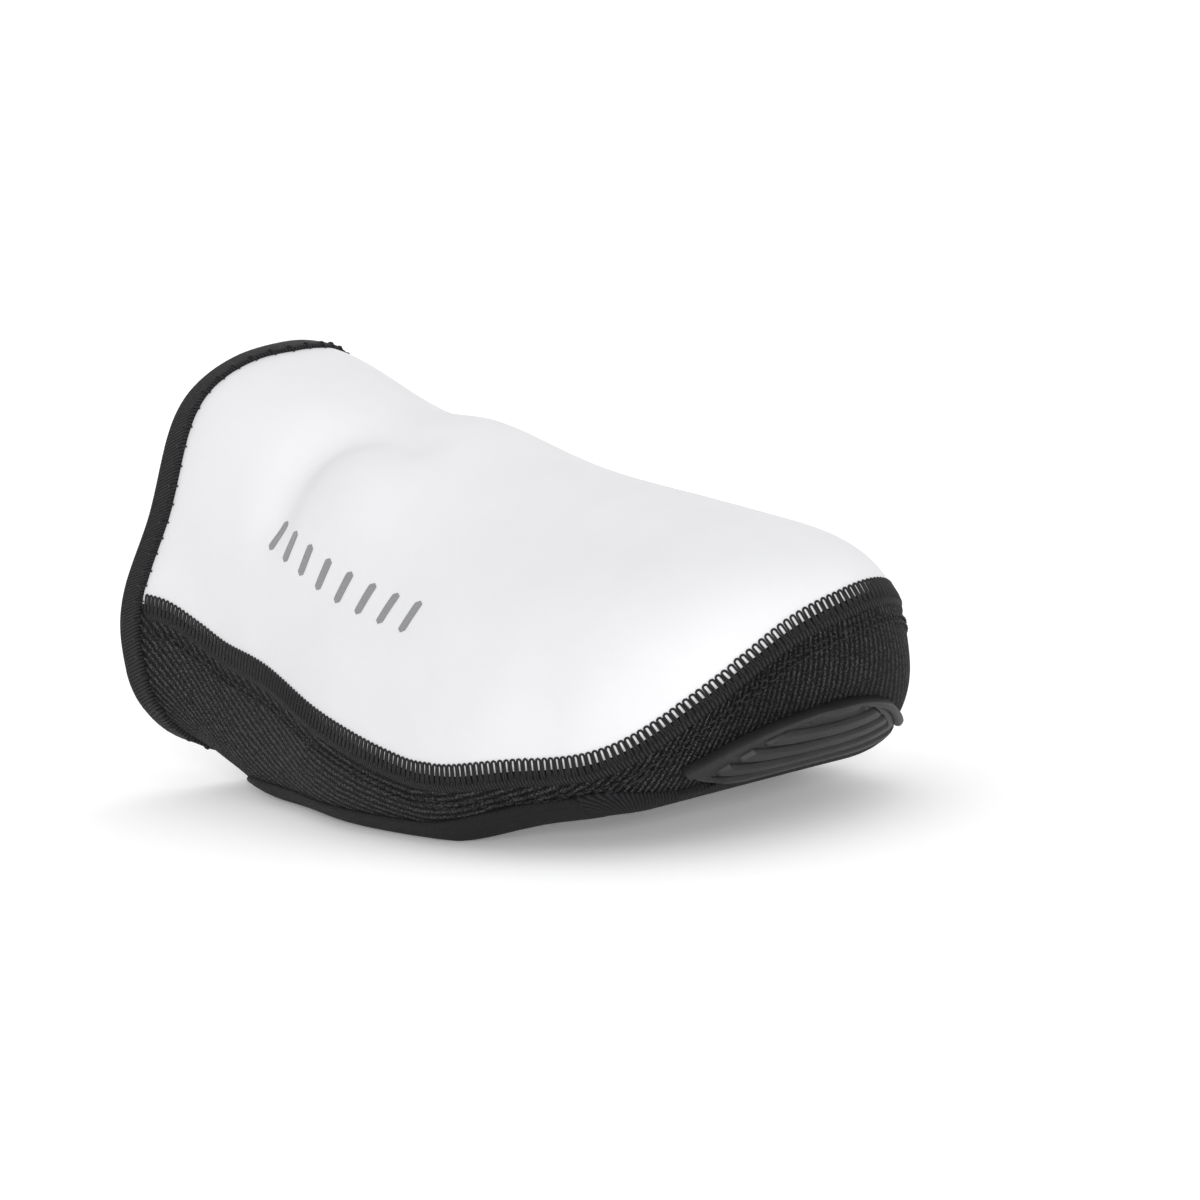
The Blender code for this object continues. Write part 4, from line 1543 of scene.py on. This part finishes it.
@dataclass
class Studio:
    """Floor, lights, world and the photograph's camera."""

    last: Last
    bearing: float = 52.7
    elevation: float = 8.0
    roll: float = -6.5
    distance: float = 0.9715
    lens: float = 134.2
    target: tuple[float, float, float] = (0.1363, 0.0, 0.0454)
    sensor: float = 36.0
    bend: float = 3.0
    paper: tuple[float, float, float, float] = (0.95, 0.95, 0.952, 1)
    paper_glow: float = 0.16
    world_light: float = 0.70

    def camera(self) -> None:
        """Place the camera at the photograph's angle to the cover."""
        turn = math.radians(self.bearing)
        rise = math.radians(self.elevation)
        roll = math.radians(self.roll)
        back = Vector((math.sin(turn) * math.cos(rise), -math.cos(turn) * math.cos(rise),
                       math.sin(rise)))
        right = Vector((math.cos(turn), math.sin(turn), 0.0))
        up = back.cross(right)
        rolled = right * math.cos(roll) + up * math.sin(roll)
        upright = up * math.cos(roll) - right * math.sin(roll)
        target = Vector(self.target) + Vector(self.last.origin)
        data = bpy.data.cameras.new("photo_camera")
        data.lens = self.lens
        data.sensor_width = self.sensor
        camera = bpy.data.objects.new("photo_camera", data)
        bpy.context.scene.collection.objects.link(camera)
        place = target + back * self.distance
        axes = Matrix((rolled, upright, back)).transposed().to_4x4()
        camera.matrix_world = Matrix.Translation(place) @ axes
        bpy.context.scene.camera = camera

    def sweep(self) -> bpy.types.Object:
        """Make the pale floor, which curves up far behind the cover.

        Returns:
            The floor.
        """
        turn = math.radians(self.bearing)
        behind = np.array([-math.sin(turn), math.cos(turn)])
        aside = np.array([math.cos(turn), math.sin(turn)])
        far = np.linspace(0, math.pi / 2, 17)
        bend = self.bend
        reach = np.concatenate([[-2 * bend, bend], bend + bend * np.sin(far[1:]), [2 * bend]])
        rise = np.concatenate([[0.0, 0.0], bend - bend * np.cos(far[1:]), [3 * bend]])
        sides = np.linspace(3 * bend, -3 * bend, 3)
        plan = reach[:, None, None] * behind + sides[None, :, None] * aside
        height = np.broadcast_to(rise[:, None, None], plan.shape[:2] + (1,))
        return Mesher.grid("studio_floor", np.concatenate([plan, height], -1))

    def build(self) -> None:
        """Set up floor, light and camera."""
        floor = self.sweep()
        bpy.ops.object.shade_smooth()
        paper = Shader("pale_studio_paper")
        paper.surface.inputs["Base Color"].default_value = self.paper
        paper.surface.inputs["Specular IOR Level"].default_value = 0.0
        paper.surface.inputs["Emission Color"].default_value = (1.0, 1.0, 1.0, 1)
        paper.surface.inputs["Emission Strength"].default_value = self.paper_glow
        floor.data.materials.append(paper.material)
        world = bpy.data.worlds.new("studio_world")
        world.use_nodes = True
        background = world.node_tree.nodes["Background"]
        background.inputs["Color"].default_value = (1.0, 1.0, 1.0, 1.0)
        background.inputs["Strength"].default_value = self.world_light
        bpy.context.scene.world = world
        self.lamp("front_light", (0.86, -0.56, 0.26), 1.55, 12.0)
        self.lamp("top_light", (-0.2, 0.2, 1.0), 0.25, 40.0)
        self.camera()
        bpy.context.scene.view_settings.view_transform = "Standard"

    def lamp(self, name: str, come_from: tuple[float, float, float], power: float,
             softness: float) -> None:
        """Add a soft far light that shines from one side.

        Args:
            name: The light's name.
            come_from: Direction that it comes from.
            power: Its strength.
            softness: How wide it looks, in degrees.
        """
        data = bpy.data.lights.new(name, "SUN")
        data.energy = power
        data.angle = math.radians(softness)
        lamp = bpy.data.objects.new(name, data)
        bpy.context.scene.collection.objects.link(lamp)
        lamp.rotation_euler = (-Vector(come_from)).to_track_quat("-Z", "Y").to_euler()


def main() -> None:
    """Build the cover's pieces in order."""
    logging.basicConfig(level=logging.INFO)
    last = Last()
    opening = CleatOpening(last)
    Studio(last).build()
    thread = Thread().make()
    Shell(last, opening).build()
    WovenBand(last, opening).build()
    FlatlockSeam(last, opening).build(thread)
    RearBinding(last).build(thread)
    OpeningBinding(last, opening).build()
    ToeGrip(last).build()
    SideMark(last).build()


if __name__ == "__main__":
    main()
